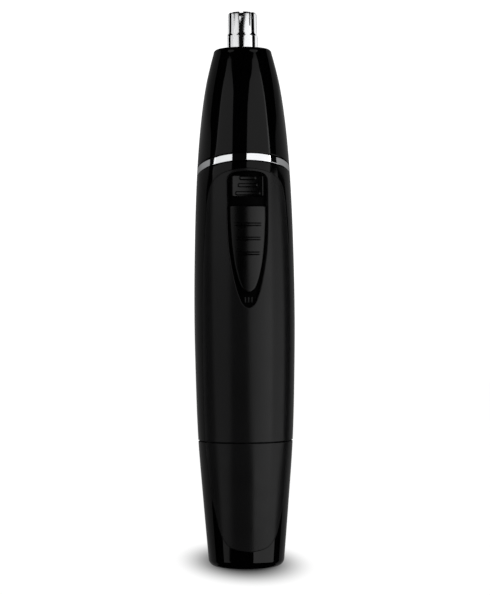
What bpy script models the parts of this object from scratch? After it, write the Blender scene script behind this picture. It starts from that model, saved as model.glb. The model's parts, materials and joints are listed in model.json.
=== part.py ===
"""Battery nose hair trimmer: gloss head and barrel, satin front panel, slotted steel cutter, one AA cell.

Everything below is in millimetres with +Z up, and turns about the Z axis. The front, where the slide
switch is, faces -Y. The base of the battery cap stands on z = 0. Meshes are scaled to metres as they
are made.
"""

import math

import bmesh
import bpy
from mathutils import Matrix, Vector

MM = 0.001

# Driving dimensions of the barrel: (height, radius) stations that its outline runs smoothly through.
BARREL = (
    (0.0, 9.27), (16.0, 10.6), (31.4, 11.75), (46.0, 12.26), (64.0, 12.5), (82.0, 12.21),
    (96.0, 11.66), (106.0, 10.95), (114.0, 10.06), (120.0, 9.1), (125.0, 7.93), (128.6, 6.93),
)
BARREL_MAX = 12.5
CAP_SEAM = 31.4
HEAD_TOP = 128.6
CUTTER_TOP = 137.7
TILT = 0.285  # rise of the slanted parting planes per mm towards the front
RING_LOW = 97.1  # where the trim ring's lower plane meets the axis
RING_HIGH = 98.85

GAP = 0.3  # between pieces that touch or rest on each other
FIT = 0.15  # between a press fit's two faces
ROUND = 40  # sides of the outer shells
INNER_ROUND = 30  # and of the mouldings inside them
SMALL_ROUND = 20
FAR = 16.0  # past the outside of the barrel, for cutters

# Satin panel: right half of its outline, (x, height), from the top down to the cap's toe.
PANEL_HALF = (
    (0.0, 98.4), (5.4, 97.5), (8.3, 95.3), (9.5, 91.5), (10.0, 85.5), (10.7, 75.0), (10.95, 62.0),
    (10.85, 46.0), (10.5, 31.4), (9.9, 25.5), (9.0, 18.5), (7.9, 13.0), (6.6, 8.3), (4.4, 5.6), (0.0, 4.7),
)
PANEL_THICK = 0.7
PANEL_BED = 0.9  # depth of the bed that it lies in

# Switch channel through the panel, and the two pieces of the slide that show in it.
CHANNEL_HALF = (
    (0.0, 97.7), (3.3, 97.35), (4.75, 96.3), (5.03, 94.3), (5.03, 86.0), (4.8, 80.0), (4.25, 75.3),
    (3.5, 71.3), (2.65, 68.0), (1.55, 65.4), (0.0, 64.4),
)
SHIELD_HALF = ((4.45, 86.0), (4.15, 80.8), (3.6, 76.0), (2.9, 72.6), (2.15, 70.2), (1.3, 68.6), (0.0, 67.9))
SHIELD_TOP = 89.2
SLIDE_TRAVEL = 2.8
SLIDE_FACE = 12.45  # radius of the shield's face and of the grip's ribs
GRIP = (3.85, 91.37, 96.7)  # half width, bottom, top
GRIP_FACE = 12.15
GRIP_RIBS = ((1.95, 95.97), (2.35, 94.2), (3.0, 92.25))  # half length, height
TRACK_DEPTH = 1.3  # floor of the channel below the barrel's surface
SLIDE_UNDER = 0.9  # underside of the slide below the barrel's surface
PEG = (1.0, 80.2, 83.4)  # half width, bottom, top of the peg that drives the carrier

# Chassis radii, inner and outer, for the battery sleeve, the motor bay and the neck.
SLEEVE = (7.6, 8.8)
MOTOR_BAY = (8.6, 9.6)
NECK = (7.8, 9.0)
SPIGOT_RADIUS = 9.4
FLANGE_RADIUS = 10.0
BAY_SHOULDER = 91.7
NECK_TOP = 108.5
PARTITION = (58.4, 60.2)
WEB = (87.8, 89.6)
SPIGOT_FOOT = 25.0

CELL_RADIUS = 7.1
CELL = (6.6, 55.6, 56.6)  # foot, shoulder, tip of the terminal
CAP_FLOOR = 2.6

MOTOR_RADIUS = 6.1
MOTOR = (63.4, 87.2)
SHAFT_RADIUS = 0.75
SCREW_AT = 4.4  # distance of each motor screw from the axis
COUPLER = (89.9, 95.6, 101.0)  # foot, shoulder, tip of the hexagonal peg
HEX_PEG = 1.85
HEX_SOCKET = 2.1

CUTTER_STEP = 132.0
SLOTS = 7
FIRST_SLOT = math.radians(-100.0)  # angle from +X, one wide slot just left of the front
WIDE_SLOT = (1.0, 1.4, 127.4)  # width, distance of its inner end from the axis, foot
NARROW_SLOT = (0.3, 2.2, 134.2)
NARROW_TURN = math.radians(36.0)  # from a wide slot to the narrow one beside it
CARRIER = (128.9, 136.3, 2.8)  # foot, top and radius of the hub that holds the blades
BLADE_STEM = (0.85, 131.6)  # radius, foot
BLADE = (0.5, 134.4, 136.9)  # thickness, foot, top
BLADES = 3
FIRST_BLADE = math.radians(-106.0)


# ---------------------------------------------------------------- outlines

def barrel_radius(height):
    """Radius of the barrel's outside at a height, by cubic pieces through the BARREL stations."""
    last = len(BARREL) - 1
    i = next((k for k in range(last) if height <= BARREL[k + 1][0]), last - 1)

    def slope(k):
        low, high = BARREL[max(k - 1, 0)], BARREL[min(k + 1, last)]
        return (high[1] - low[1]) / (high[0] - low[0])

    (z0, r0), (z1, r1) = BARREL[i], BARREL[i + 1]
    span = z1 - z0
    t = (height - z0) / span
    return (
        r0 * (2 * t**3 - 3 * t**2 + 1)
        + r1 * (3 * t**2 - 2 * t**3)
        + slope(i) * span * (t**3 - 2 * t**2 + t)
        + slope(i + 1) * span * (t**3 - t**2)
    )


def barrel_run(low, high, step=8.0, offset=0.0):
    """Points (radius, height) up the barrel's outside, or offset from it."""
    count = max(1, round((high - low) / step))
    heights = [low + (high - low) * k / count for k in range(count + 1)]
    return [(barrel_radius(z) + offset, z) for z in heights]


def smooth(points, per_span=3):
    """A smooth curve through the points: a Catmull-Rom spline."""
    padded = [points[0], *points, points[-1]]
    curve = []
    for a, b, c, d in zip(padded, padded[1:], padded[2:], padded[3:]):
        for k in range(per_span):
            t = k / per_span
            curve.append(tuple(
                0.5 * (2 * q + (r - p) * t + (2 * p - 5 * q + 4 * r - s) * t**2 + (3 * q - p - 3 * r + s) * t**3)
                for p, q, r, s in zip(a, b, c, d)
            ))
    return [*curve, points[-1]]


def mirrored(half):
    """A closed outline from its right half, whose ends lie on the middle line."""
    return [*half, *((-x, z) for x, z in reversed(half[1:-1]))]


def rounded_tip(half):
    """Adds the mirror image's next point at each end, so that the spline crosses the middle square."""
    first, last = half[1], half[-2]
    ends = [(-first[0], first[1]), *half, (-last[0], last[1])]
    whole = smooth(ends)
    return [p for p in whole[3:-3] if p[0] > 1e-6 or p in (half[0], half[-1])]


def inset(outline, distance):
    """The closed outline moved inwards by a distance."""
    area = sum(a[0] * b[1] - b[0] * a[1] for a, b in zip(outline, outline[1:] + outline[:1]))
    turn = 1.0 if area > 0 else -1.0
    moved = []
    for before, point, after in zip(outline[-1:] + outline[:-1], outline, outline[1:] + outline[:1]):
        along = Vector((after[0] - before[0], after[1] - before[1])).normalized()
        moved.append((point[0] - along.y * distance * turn, point[1] + along.x * distance * turn))
    return moved


def arc(centre, radius, start, end, steps):
    """Points of an arc, angles in degrees, ends included."""
    angles = [math.radians(start + (end - start) * k / steps) for k in range(steps + 1)]
    return [(centre[0] + radius * math.cos(a), centre[1] + radius * math.sin(a)) for a in angles]


def rounded_box(half_width, low, high, corner, steps=3):
    """A rectangle's outline with round corners."""
    x, outline = half_width - corner, []
    for centre, start in (((x, high - corner), 0), ((-x, high - corner), 90),
                          ((-x, low + corner), 180), ((x, low + corner), 270)):
        outline += arc(centre, corner, start, start + 90, steps)
    return outline


def panel_outline():
    return mirrored(rounded_tip(PANEL_HALF))


def channel_outline():
    return mirrored(rounded_tip(CHANNEL_HALF))


def shield_outline():
    tip = SHIELD_HALF[-2]
    sides = smooth([*SHIELD_HALF, (-tip[0], tip[1])])[:-3]
    corner = arc((SHIELD_HALF[0][0] - 0.5, SHIELD_TOP - 0.5), 0.5, 90, 0, 3)
    return mirrored([(0.0, SHIELD_TOP), *corner, *sides])


# ---------------------------------------------------------------- making objects

def start_scene():
    for obj in list(bpy.data.objects):
        bpy.data.objects.remove(obj)


def material(name, colour, roughness, metallic=0.0):
    made = bpy.data.materials.new(name)
    made.use_nodes = True
    shader = made.node_tree.nodes["Principled BSDF"]
    shader.inputs["Base Color"].default_value = (*colour, 1.0)
    shader.inputs["Roughness"].default_value = roughness
    shader.inputs["Metallic"].default_value = metallic
    return made


def body(name, height=0.0, parent=None):
    """An empty on the axis that carries one moving body."""
    empty = bpy.data.objects.new(name, None)
    bpy.context.scene.collection.objects.link(empty)
    empty.parent = parent
    below = parent.matrix_world.translation.z if parent else 0.0
    empty.location.z = height * MM - below
    bpy.context.view_layer.update()
    return empty


def add(name, bm, finish=None, parent=None):
    """An object from a bmesh in millimetres. With no finish it is a cutter, which isn't part of the model."""
    bmesh.ops.remove_doubles(bm, verts=bm.verts, dist=1e-4)
    bmesh.ops.recalc_face_normals(bm, faces=bm.faces)
    origin = parent.matrix_world.translation if parent else Vector()
    bmesh.ops.transform(bm, matrix=Matrix.Translation(-origin) @ Matrix.Scale(MM, 4), verts=bm.verts)
    mesh = bpy.data.meshes.new(name)
    bm.to_mesh(mesh)
    bm.free()
    obj = bpy.data.objects.new(name, mesh)
    bpy.context.scene.collection.objects.link(obj)
    obj.parent = parent
    if finish:
        mesh.materials.append(finish)
        mesh.shade_smooth()
        mesh.set_sharp_from_angle(angle=math.radians(35))
    else:
        obj.hide_render = True
        obj.display_type = "WIRE"
    return obj


def turned_mesh(outline, sides=ROUND):
    """A solid turned about Z. The outline is (radius, height), a loop or a run from axis to axis."""
    bm = bmesh.new()
    points = [bm.verts.new((r, 0.0, z)) for r, z in outline]
    pairs = list(zip(points, points[1:]))
    if outline[0][0] > 0:
        pairs.append((points[-1], points[0]))
    edges = [bm.edges.new(pair) for pair in pairs]
    bmesh.ops.spin(bm, geom=points + edges, cent=(0, 0, 0), axis=(0, 0, 1), angle=math.tau,
                   steps=sides, use_merge=True)
    return bm


def turned(name, outline, finish=None, parent=None, sides=ROUND):
    return add(name, turned_mesh(outline, sides), finish, parent)


def prism_mesh(outline, start, end, axis="Y"):
    """An outline pushed along an axis: (x, z) along Y, (y, z) along X, or (x, y) along Z."""
    place = {"X": lambda a, b, c: (c, a, b), "Y": lambda a, b, c: (a, c, b), "Z": lambda a, b, c: (a, b, c)}[axis]
    bm = bmesh.new()
    face = bm.faces.new([bm.verts.new(place(a, b, start)) for a, b in outline])
    made = bmesh.ops.extrude_face_region(bm, geom=[face])["geom"]
    moved = [v for v in made if isinstance(v, bmesh.types.BMVert)]
    bmesh.ops.translate(bm, verts=moved, vec=Vector(place(0, 0, end - start)))
    return bm


def prism(name, outline, start, end, finish=None, parent=None, axis="Y"):
    return add(name, prism_mesh(outline, start, end, axis), finish, parent)


def block(name, x, y, z, finish=None, parent=None):
    """A box from its (low, high) limits along each axis."""
    return prism(name, [(x[0], z[0]), (x[1], z[0]), (x[1], z[1]), (x[0], z[1])], *y, finish, parent)


def ring(name, inner, outer, finish=None, parent=None, sides=ROUND):
    """A turned wall between two runs of (radius, height) points, both going up."""
    return turned(name, [*outer, *reversed(inner)], finish, parent, sides)


def wire(name, points, radius, finish, parent, sides_level=2):
    """A round wire along the points, with closed ends."""
    curve = bpy.data.curves.new(name, "CURVE")
    curve.dimensions = "3D"
    curve.bevel_depth = radius * MM
    curve.bevel_resolution = sides_level
    curve.use_fill_caps = True
    spline = curve.splines.new("POLY")
    spline.points.add(len(points) - 1)
    origin = parent.matrix_world.translation
    for target, point in zip(spline.points, points):
        target.co = (*(Vector(point) * MM - origin), 1.0)
    curve.materials.append(finish)
    obj = bpy.data.objects.new(name, curve)
    bpy.context.scene.collection.objects.link(obj)
    obj.parent = parent
    return obj


def shape(target, operation, *tools):
    """Cuts, joins or trims the target with each tool. A tool stays as a hidden helper."""
    for tool in tools:
        modifier = target.modifiers.new(tool.name, "BOOLEAN")
        modifier.operation = operation
        modifier.object = tool
        modifier.solver = "EXACT"
        tool.hide_render = True
        tool.display_type = "WIRE"
    return target


def slanted(name, low, high):
    """Everything between two slanted planes, given where they meet the axis."""
    rise = TILT * FAR
    return prism(name, [(-FAR, low + rise), (FAR, low - rise), (FAR, high - rise), (-FAR, high + rise)],
                 -FAR, FAR, axis="X")


# ---------------------------------------------------------------- battery cap, which stands on the floor

def make_battery_cap(finish, parent):
    edge, mouth, bore = 1.4, CAP_SEAM - FIT, SPIGOT_RADIUS + 0.2
    foot = arc((barrel_radius(edge) - edge, edge), edge, -90, 0, 4)
    outside = [(0.0, 0.0), *foot, *barrel_run(edge, mouth - 0.25)[1:], (barrel_radius(mouth) - 0.25, mouth)]
    inside = [(bore, mouth), (bore, 24.4), (8.5, 23.6), (7.7, CAP_FLOOR), (0.0, CAP_FLOOR)]
    cap = turned("battery_cap", [*outside, *inside], finish, parent)
    bed = ring("cap_bed", barrel_run(2.0, CAP_SEAM + 1, offset=-PANEL_BED), barrel_run(2.0, CAP_SEAM + 1, offset=2))
    shape(bed, "INTERSECT", prism("cap_bed_outline", panel_outline(), -FAR, -1.0))
    return shape(cap, "DIFFERENCE", bed)


def make_cap_panel(finish, parent):
    top = CAP_SEAM - FIT
    skin = ring("cap_panel", barrel_run(2.0, top, offset=-PANEL_THICK), barrel_run(2.0, top), finish, parent)
    return shape(skin, "INTERSECT", prism("cap_panel_outline", inset(panel_outline(), FIT), -FAR, -1.0))


def make_negative_contact(finish, parent):
    """A disc under the spring, with an arm that runs up the back to meet the handle's strip."""
    low = CAP_FLOOR + 0.15
    disc = turned("negative_contact", [(0.0, low), (6.4, low), (6.4, low + 0.25), (0.0, low + 0.25)],
                  finish, parent, SMALL_ROUND)
    foot = block("contact_foot", (-1.2, 1.2), (4.0, 7.5), (low, low + 0.25))
    arm = block("contact_arm", (-1.2, 1.2), (7.3, 7.5), (low + 0.1, 23.6))
    return shape(disc, "UNION", foot, arm)


def coil(radius_low, radius_high, low, high, turns, per_turn=10):
    """Points of a spring whose radius changes evenly from its foot to its top."""
    count = round(turns * per_turn)
    return [
        (
            (radius_low + (radius_high - radius_low) * k / count) * math.cos(math.tau * k / per_turn),
            (radius_low + (radius_high - radius_low) * k / count) * math.sin(math.tau * k / per_turn),
            low + (high - low) * k / count,
        )
        for k in range(count + 1)
    ]


def make_negative_spring(finish, parent):
    return wire("negative_spring", coil(5.2, 2.6, 3.5, 6.1, 3), 0.3, finish, parent, 1)


def make_battery_cell(finish, parent):
    foot, shoulder, tip = CELL
    outline = [(0.0, foot), (CELL_RADIUS - 0.4, foot), (CELL_RADIUS, foot + 0.4), (CELL_RADIUS, shoulder - 0.6),
               (CELL_RADIUS - 0.6, shoulder), (2.7, shoulder), (2.5, tip), (0.0, tip)]
    return turned("battery_cell", outline, finish, parent, INNER_ROUND)


# ---------------------------------------------------------------- handle

def make_body_shell(finish, parent):
    low, high = CAP_SEAM + FIT, 103.0
    inside = [(FLANGE_RADIUS + GAP, low), (FLANGE_RADIUS + GAP, 57.0), (MOTOR_BAY[1] + GAP, 58.0),
              (MOTOR_BAY[1] + GAP, BAY_SHOULDER + GAP), (NECK[1] + GAP, BAY_SHOULDER + GAP), (NECK[1] + GAP, high)]
    outside = [(barrel_radius(low) - 0.25, low), *barrel_run(low + 0.25, high)]
    shell = ring("body_shell", inside, outside, finish, parent)
    bed = ring("body_bed", barrel_run(CAP_SEAM - 1, high, offset=-PANEL_BED), barrel_run(CAP_SEAM - 1, high, offset=2))
    shape(bed, "INTERSECT", prism("body_bed_outline", panel_outline(), -FAR, -1.0))
    channel = prism("shell_channel", channel_outline(), -FAR, -7.0)
    return shape(shell, "DIFFERENCE", bed, channel, slanted("above_shell", RING_LOW - FIT, RING_LOW + 30))


def make_front_panel(finish, parent):
    low, high = CAP_SEAM + FIT, 100.0
    skin = ring("front_panel", barrel_run(low, high, offset=-PANEL_THICK), barrel_run(low, high), finish, parent)
    shape(skin, "INTERSECT", prism("front_panel_outline", inset(panel_outline(), FIT), -FAR, -1.0))
    return shape(skin, "DIFFERENCE", prism("panel_channel", channel_outline(), -FAR, -7.0))


def make_slide_track(finish, parent):
    """The channel's floor, slotted for the peg, with three raised bars that show when the slide is up."""
    low, high, inner = 63.0, 99.0, MOTOR_BAY[1] + GAP
    track = ring("slide_track", [(inner, low), (inner, high)], barrel_run(low, high, offset=-TRACK_DEPTH),
                 finish, parent)
    shape(track, "INTERSECT", prism("track_outline", inset(channel_outline(), FIT), -FAR, -7.0))
    for k in (-1, 0, 1):
        shape(track, "UNION", block(f"track_bar_{k + 2}", (0.75 * k - 0.2, 0.75 * k + 0.2),
                                    (-barrel_radius(66.3) + TRACK_DEPTH - 0.2, -10.5), (65.5, 67.1)))
    slot = block("track_slot", (-PEG[0] - GAP, PEG[0] + GAP), (-FAR, -7.0),
                 (PEG[1] - SLIDE_TRAVEL - GAP, PEG[2] + GAP))
    return shape(track, "DIFFERENCE", slot)


def make_trim_ring(finish, parent):
    inside = [(NECK[1] + FIT, 92.0), (NECK[1] + FIT, 104.0)]
    band = ring("trim_ring", inside, barrel_run(92.0, 104.0, step=3.0), finish, parent)
    return shape(band, "INTERSECT", slanted("ring_planes", RING_LOW, RING_HIGH))


def make_chassis(finish, parent):
    """One moulding: cap spigot, battery sleeve, motor bay and the neck that the head pushes onto."""
    outside = [
        (SPIGOT_RADIUS - 0.3, SPIGOT_FOOT), (SPIGOT_RADIUS, SPIGOT_FOOT + 0.3), (SPIGOT_RADIUS, 27.0), (8.6, 27.0),
        (8.6, 28.6), (SPIGOT_RADIUS, 28.6), (SPIGOT_RADIUS, CAP_SEAM + GAP), (FLANGE_RADIUS, CAP_SEAM + GAP),
        (FLANGE_RADIUS, 36.0), (SLEEVE[1], 36.0), (SLEEVE[1], 57.4), (MOTOR_BAY[1], 58.2),
        (MOTOR_BAY[1], BAY_SHOULDER), (NECK[1], BAY_SHOULDER), (NECK[1], 103.6), (8.3, 103.6), (8.3, 105.0),
        (NECK[1], 105.0), (NECK[1], NECK_TOP - 0.4), (NECK[1] - 0.4, NECK_TOP),
    ]
    inside = [
        (NECK[0], NECK_TOP), (NECK[0], WEB[1]), (3.4, WEB[1]), (3.4, WEB[0]), (MOTOR_BAY[0], WEB[0]),
        (MOTOR_BAY[0], PARTITION[1]), (2.5, PARTITION[1]), (2.5, PARTITION[0]), (SLEEVE[0], PARTITION[0]),
        (SLEEVE[0], SPIGOT_FOOT),
    ]
    chassis = turned("chassis", [*outside, *inside], finish, parent, INNER_ROUND)
    window = block("motor_window", (-7.0, 7.0), (0.5, FAR), (PARTITION[1] + 0.4, WEB[0] - 0.6))
    slot = block("peg_slot", (-PEG[0] - GAP, PEG[0] + GAP), (-FAR, -7.0),
                 (PEG[1] - SLIDE_TRAVEL - GAP, PEG[2] + GAP))
    arm_slot = block("arm_slot", (-4.5, -2.7), (-7.65, -6.0), (56.6, PARTITION[1] + 0.3))
    strip_slot = block("strip_slot", (-1.5, 1.5), (6.0, 8.15), (SPIGOT_FOOT - 1, PARTITION[1] + 0.3))
    holes = [screw_hole(f"web_hole_{k}", x, 0.95, WEB) for k, x in enumerate((-SCREW_AT, SCREW_AT))]
    return shape(chassis, "DIFFERENCE", window, slot, arm_slot, strip_slot, *holes)


def screw_hole(name, x, radius, span):
    outline = [(x + a, b) for a, b in arc((0, 0), radius, 0, 345, 11)]
    return prism(name, outline, span[0] - 0.5, span[1] + 0.5, axis="Z")


def make_seal(name, height, major, minor, finish, parent):
    return turned(name, arc((major, height), minor, 0, 300, 5), finish, parent, INNER_ROUND)


def make_positive_contact(finish, parent):
    """A plate over the cell's tip, with an arm up the front that is the switch's first contact."""
    low = CELL[2] + 0.5
    plate = turned("positive_contact", [(0.0, low), (5.0, low), (5.0, low + 0.3), (0.0, low + 0.3)],
                   finish, parent, SMALL_ROUND)
    link = block("contact_link", (-4.2, -3.0), (-7.35, -2.0), (low, low + 0.3))
    arm = block("contact_riser", (-4.2, -3.0), (-7.35, -7.15), (low + 0.1, 84.0))
    return shape(plate, "UNION", link, arm)


def make_switch_contact(finish, parent):
    return block("switch_contact", (3.0, 4.2), (-7.35, -7.15), (79.3, 86.0), finish, parent)


def make_negative_strip(finish, parent):
    return block("negative_strip", (-1.2, 1.2), (7.65, 7.9), (21.0, 62.5), finish, parent)


# ---------------------------------------------------------------- motor

def make_motor_can(finish, parent):
    low, high = MOTOR
    outline = [(MOTOR_RADIUS, low), (MOTOR_RADIUS, high - 0.4), (MOTOR_RADIUS - 0.4, high), (3.0, high),
               (3.0, 88.9), (1.1, 88.9), (1.1, high - 0.8), (5.5, high - 0.8), (5.5, low)]
    can = turned("motor_can", outline, finish, parent, INNER_ROUND)
    holes = [screw_hole(f"can_hole_{k}", x, 0.9, (high - 1, high)) for k, x in enumerate((-SCREW_AT, SCREW_AT))]
    return shape(can, "DIFFERENCE", *holes)


def make_magnet(name, side, finish, parent):
    """One of the two arc magnets inside the can."""
    outline = arc((0, 0), 5.35, -58, 58, 8) + arc((0, 0), 4.6, 58, -58, 8)
    return prism(name, [(side * x, y) for x, y in outline], 66.0, 83.0, finish, parent, "Z")


def make_motor_end_cap(finish, parent):
    outline = [(0.95, 62.2), (MOTOR_RADIUS, 62.2), (MOTOR_RADIUS, 63.1), (5.3, 63.1), (5.3, 64.2), (0.95, 64.2)]
    cap = turned("motor_end_cap", outline, finish, parent, INNER_ROUND)
    slots = [block(f"terminal_slot_{k}", (x - 0.6, x + 0.6), (-1.0, 1.0), (61.0, 65.0))
             for k, x in enumerate((-3.6, 3.6))]
    return shape(cap, "DIFFERENCE", *slots)


def make_terminal(name, side, finish, parent):
    """A brush holder's tab, which comes out through the end cap."""
    tab = block(name, sorted((side * 3.45, side * 3.75)), (-0.7, 0.7), (60.7, 65.4), finish, parent)
    brush = block(name + "_brush", sorted((side * 1.75, side * 3.6)), (-0.5, 0.5), (64.9, 65.4))
    return shape(tab, "UNION", brush)


def make_motor_mount(finish, parent):
    """A rubber ring round the motor's foot, open at the front for the contacts."""
    mount = ring("motor_mount", [(MOTOR_RADIUS + FIT, 64.4), (MOTOR_RADIUS + FIT, 67.4)],
                 [(MOTOR_BAY[0] - FIT, 64.4), (MOTOR_BAY[0] - FIT, 67.4)], finish, parent, INNER_ROUND)
    return shape(mount, "DIFFERENCE", block("mount_opening", (-7.2, 7.2), (-FAR, -2.0), (63.0, 69.0)))


def make_screw(name, x, finish, parent):
    """A pan head screw through the chassis web into the motor's face."""
    top = WEB[1] + FIT
    bm = turned_mesh([(0.0, MOTOR[1] - 0.6), (0.75, MOTOR[1] - 0.6), (0.75, top), (1.45, top), (1.45, top + 0.7),
                      (1.1, top + 1.0), (0.0, top + 1.0)], 12)
    bmesh.ops.translate(bm, verts=bm.verts, vec=(x, 0, 0))
    screw = add(name, bm, finish, parent)
    return shape(screw, "DIFFERENCE", block(name + "_slot", (x - 2, x + 2), (-0.2, 0.2), (top + 0.6, top + 2)))


def make_motor_shaft(finish, parent):
    outline = [(0.0, 63.0), (SHAFT_RADIUS, 63.0), (SHAFT_RADIUS, 96.6), (0.5, 97.0), (0.0, 97.0)]
    return turned("motor_shaft", outline, finish, parent, 16)


def make_armature(finish, parent):
    """A three-pole lamination stack, bored for the shaft."""
    outline = []
    for pole in range(3):
        middle = 120.0 * pole
        outline += arc((0, 0), 4.2, middle - 46, middle + 46, 8)
        outline += [(3.4 * math.cos(math.radians(middle + 48)), 3.4 * math.sin(math.radians(middle + 48)))]
        outline += [(1.9 * math.cos(math.radians(middle + turn)), 1.9 * math.sin(math.radians(middle + turn)))
                    for turn in (32, 60, 88)]
        outline += [(3.4 * math.cos(math.radians(middle + 72)), 3.4 * math.sin(math.radians(middle + 72)))]
    stack = prism("motor_armature", outline, 69.0, 81.0, finish, parent, "Z")
    bore = prism("armature_bore", arc((0, 0), SHAFT_RADIUS + 0.08, 0, 337.5, 15), 68.0, 82.0, axis="Z")
    return shape(stack, "DIFFERENCE", bore)


def make_commutator(finish, parent):
    bore = SHAFT_RADIUS + 0.08
    return ring("commutator", [(bore, 64.6), (bore, 68.6)], [(1.5, 64.6), (1.5, 68.6)], finish, parent, 16)


def hexagon(radius):
    return arc((0, 0), radius, 0, 300, 5)


def make_drive_coupler(finish, parent):
    """A collar pressed on the motor shaft, with a hexagonal peg that drives the head's spindle."""
    foot, shoulder, tip = COUPLER
    collar = turned("drive_coupler", [(0.0, foot), (2.6, foot), (2.6, shoulder - 0.4), (2.2, shoulder), (0.0, shoulder)],
                    finish, parent, SMALL_ROUND)
    peg = prism("coupler_peg", hexagon(HEX_PEG), shoulder - 1, tip, axis="Z")
    bore = prism("coupler_bore", arc((0, 0), SHAFT_RADIUS + 0.08, 0, 337.5, 15), foot - 1, 97.3, axis="Z")
    return shape(shape(collar, "UNION", peg), "DIFFERENCE", bore)


# ---------------------------------------------------------------- slide switch

def make_slide_knob(finish, parent):
    """Shield-shaped cover, with a tongue up under the grip and a peg in to the carrier."""
    low, high = 66.0, 98.0
    knob = ring("slide_knob", barrel_run(low, high, offset=-SLIDE_UNDER), [(SLIDE_FACE, low), (SLIDE_FACE, high)],
                finish, parent)
    shape(knob, "INTERSECT", prism("shield", shield_outline(), -FAR, -7.0))
    tongue = ring("knob_tongue", barrel_run(low, high, offset=-SLIDE_UNDER), barrel_run(low, high, offset=-0.4))
    shape(tongue, "INTERSECT", prism("tongue_outline", rounded_box(2.9, 88.0, 96.2, 0.6), -FAR, -7.0))
    peg = block("knob_peg", (-PEG[0], PEG[0]), (-12.0, -7.1), PEG[1:])
    shape(knob, "UNION", tongue, peg)
    for k, (half, height) in enumerate(((3.3, 84.74), (3.07, 81.23), (2.87, 77.68))):
        shape(knob, "DIFFERENCE", groove(f"knob_groove_{k + 1}", half, height))
    return knob


def groove(name, half, height):
    """A shallow cut across the shield, as deep at its ends as in the middle."""
    floor = SLIDE_FACE - 0.25
    cut = ring(name, [(floor, height - 0.22), (floor, height + 0.22)], [(FAR, height - 0.22), (FAR, height + 0.22)])
    return shape(cut, "INTERSECT", block(name + "_ends", (-half, half), (-FAR - 1, -7.0), (height - 1, height + 1)))


def make_thumb_grip(finish, parent):
    """Ribbed block on the slide's tongue."""
    half, low, high = GRIP
    pad = ring("thumb_grip", barrel_run(low - 1, high + 1, offset=-0.25), [(GRIP_FACE, low - 1), (GRIP_FACE, high + 1)],
               finish, parent)
    shape(pad, "INTERSECT", prism("grip_outline", rounded_box(half, low, high, 0.5), -FAR, -7.0))
    for k, (length, height) in enumerate(GRIP_RIBS):
        span = (height - 0.42, height + 0.42)
        rib = ring(f"grip_rib_{k + 1}", [(GRIP_FACE - 0.2, z) for z in span], [(SLIDE_FACE, z) for z in span])
        shape(rib, "INTERSECT", block(f"grip_rib_ends_{k + 1}", (-length, length), (-FAR, -7.0), (90.0, 98.0)))
        shape(pad, "UNION", rib)
    return pad


def make_slide_carrier(finish, parent):
    carrier = block("slide_carrier", (-2.7, 2.7), (-7.8, -7.1), (77.6, 86.4), finish, parent)
    hole = block("carrier_hole", (-PEG[0] - FIT, PEG[0] + FIT), (-9.0, -6.0), (PEG[1] - FIT, PEG[2] + FIT))
    return shape(carrier, "DIFFERENCE", hole)


def make_switch_bridge(finish, parent):
    return block("switch_bridge", (-4.0, 4.0), (-6.95, -6.75), (79.6, 82.2), finish, parent)


# ---------------------------------------------------------------- head

def make_head_shell(finish, parent):
    """Nozzle. Its skirt slides over the neck, and its top has the hole for the steel cutter."""
    edge, wall, hole, bore = 1.1, 1.9, 4.0, NECK[1] + 0.2
    crown = HEAD_TOP - edge
    low, roof = 93.0, HEAD_TOP - wall
    outside = [*barrel_run(low, crown, step=4.0), *arc((barrel_radius(crown) - edge, crown), edge, 15, 90, 4)]
    inside = [(hole, HEAD_TOP), (hole, roof), (5.9, roof), *reversed(barrel_run(110.5, 125.0, 4.0, -wall)),
              (bore, 109.2), (bore, low)]
    shell = turned("head_shell", [*outside, *inside], finish, parent)
    return shape(shell, "DIFFERENCE", slanted("below_head", RING_HIGH - 30, RING_HIGH + FIT))


def make_cutter_holder(finish, parent):
    """Insert that clamps the steel cutter's flange, guides the spindle and seats its spring."""
    outline = [(1.7, 110.6), (2.9, 110.6), (2.9, 113.6), (7.8, 113.6), (7.5, 115.4), (4.3, 115.4), (4.3, 124.0),
               (5.7, 124.0), (5.6, 125.2), (3.3, 125.2), (3.3, 115.6), (1.7, 115.6)]
    return turned("cutter_holder", outline, finish, parent, INNER_ROUND)


def make_outer_cutter(finish, parent):
    """Stepped steel cap: wide slots from its top down into the head, short narrow ones on every other face."""
    outline = [(0.0, CUTTER_TOP), *arc((3.06, CUTTER_TOP - 0.5), 0.5, 90, 0, 3), (3.64, CUTTER_STEP + 0.15),
               (3.86, CUTTER_STEP - 0.2), (3.86, 126.3), (4.7, 126.3), (4.7, 125.5), (3.42, 125.5), (3.42, 131.0),
               (3.15, 131.4), (3.15, CUTTER_TOP - 0.45), (0.0, CUTTER_TOP - 0.45)]
    cap = turned("outer_cutter", outline, finish, parent, 5 * SLOTS)
    kinds = (("wide_slot", WIDE_SLOT, 0.0, range(SLOTS)),
             ("narrow_slot", NARROW_SLOT, NARROW_TURN, range(0, SLOTS - 1, 2)))
    beyond, above = 6.0, CUTTER_TOP + 2.0
    for name, (width, inner, foot), turn, places in kinds:
        for k in places:
            slot = plate([(inner, foot), (beyond, foot), (beyond, above), (inner, above)], width,
                         FIRST_SLOT + turn + math.tau * k / SLOTS)
            shape(cap, "DIFFERENCE", add(f"{name}_{k + 1}", slot))
    return cap


def plate(outline, thickness, turn):
    """An upright plate whose outline is (distance from the axis, height), turned about Z."""
    bm = prism_mesh(outline, -thickness / 2, thickness / 2)
    bmesh.ops.rotate(bm, verts=bm.verts, cent=(0, 0, 0), matrix=Matrix.Rotation(turn, 3, "Z"))
    return bm


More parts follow.
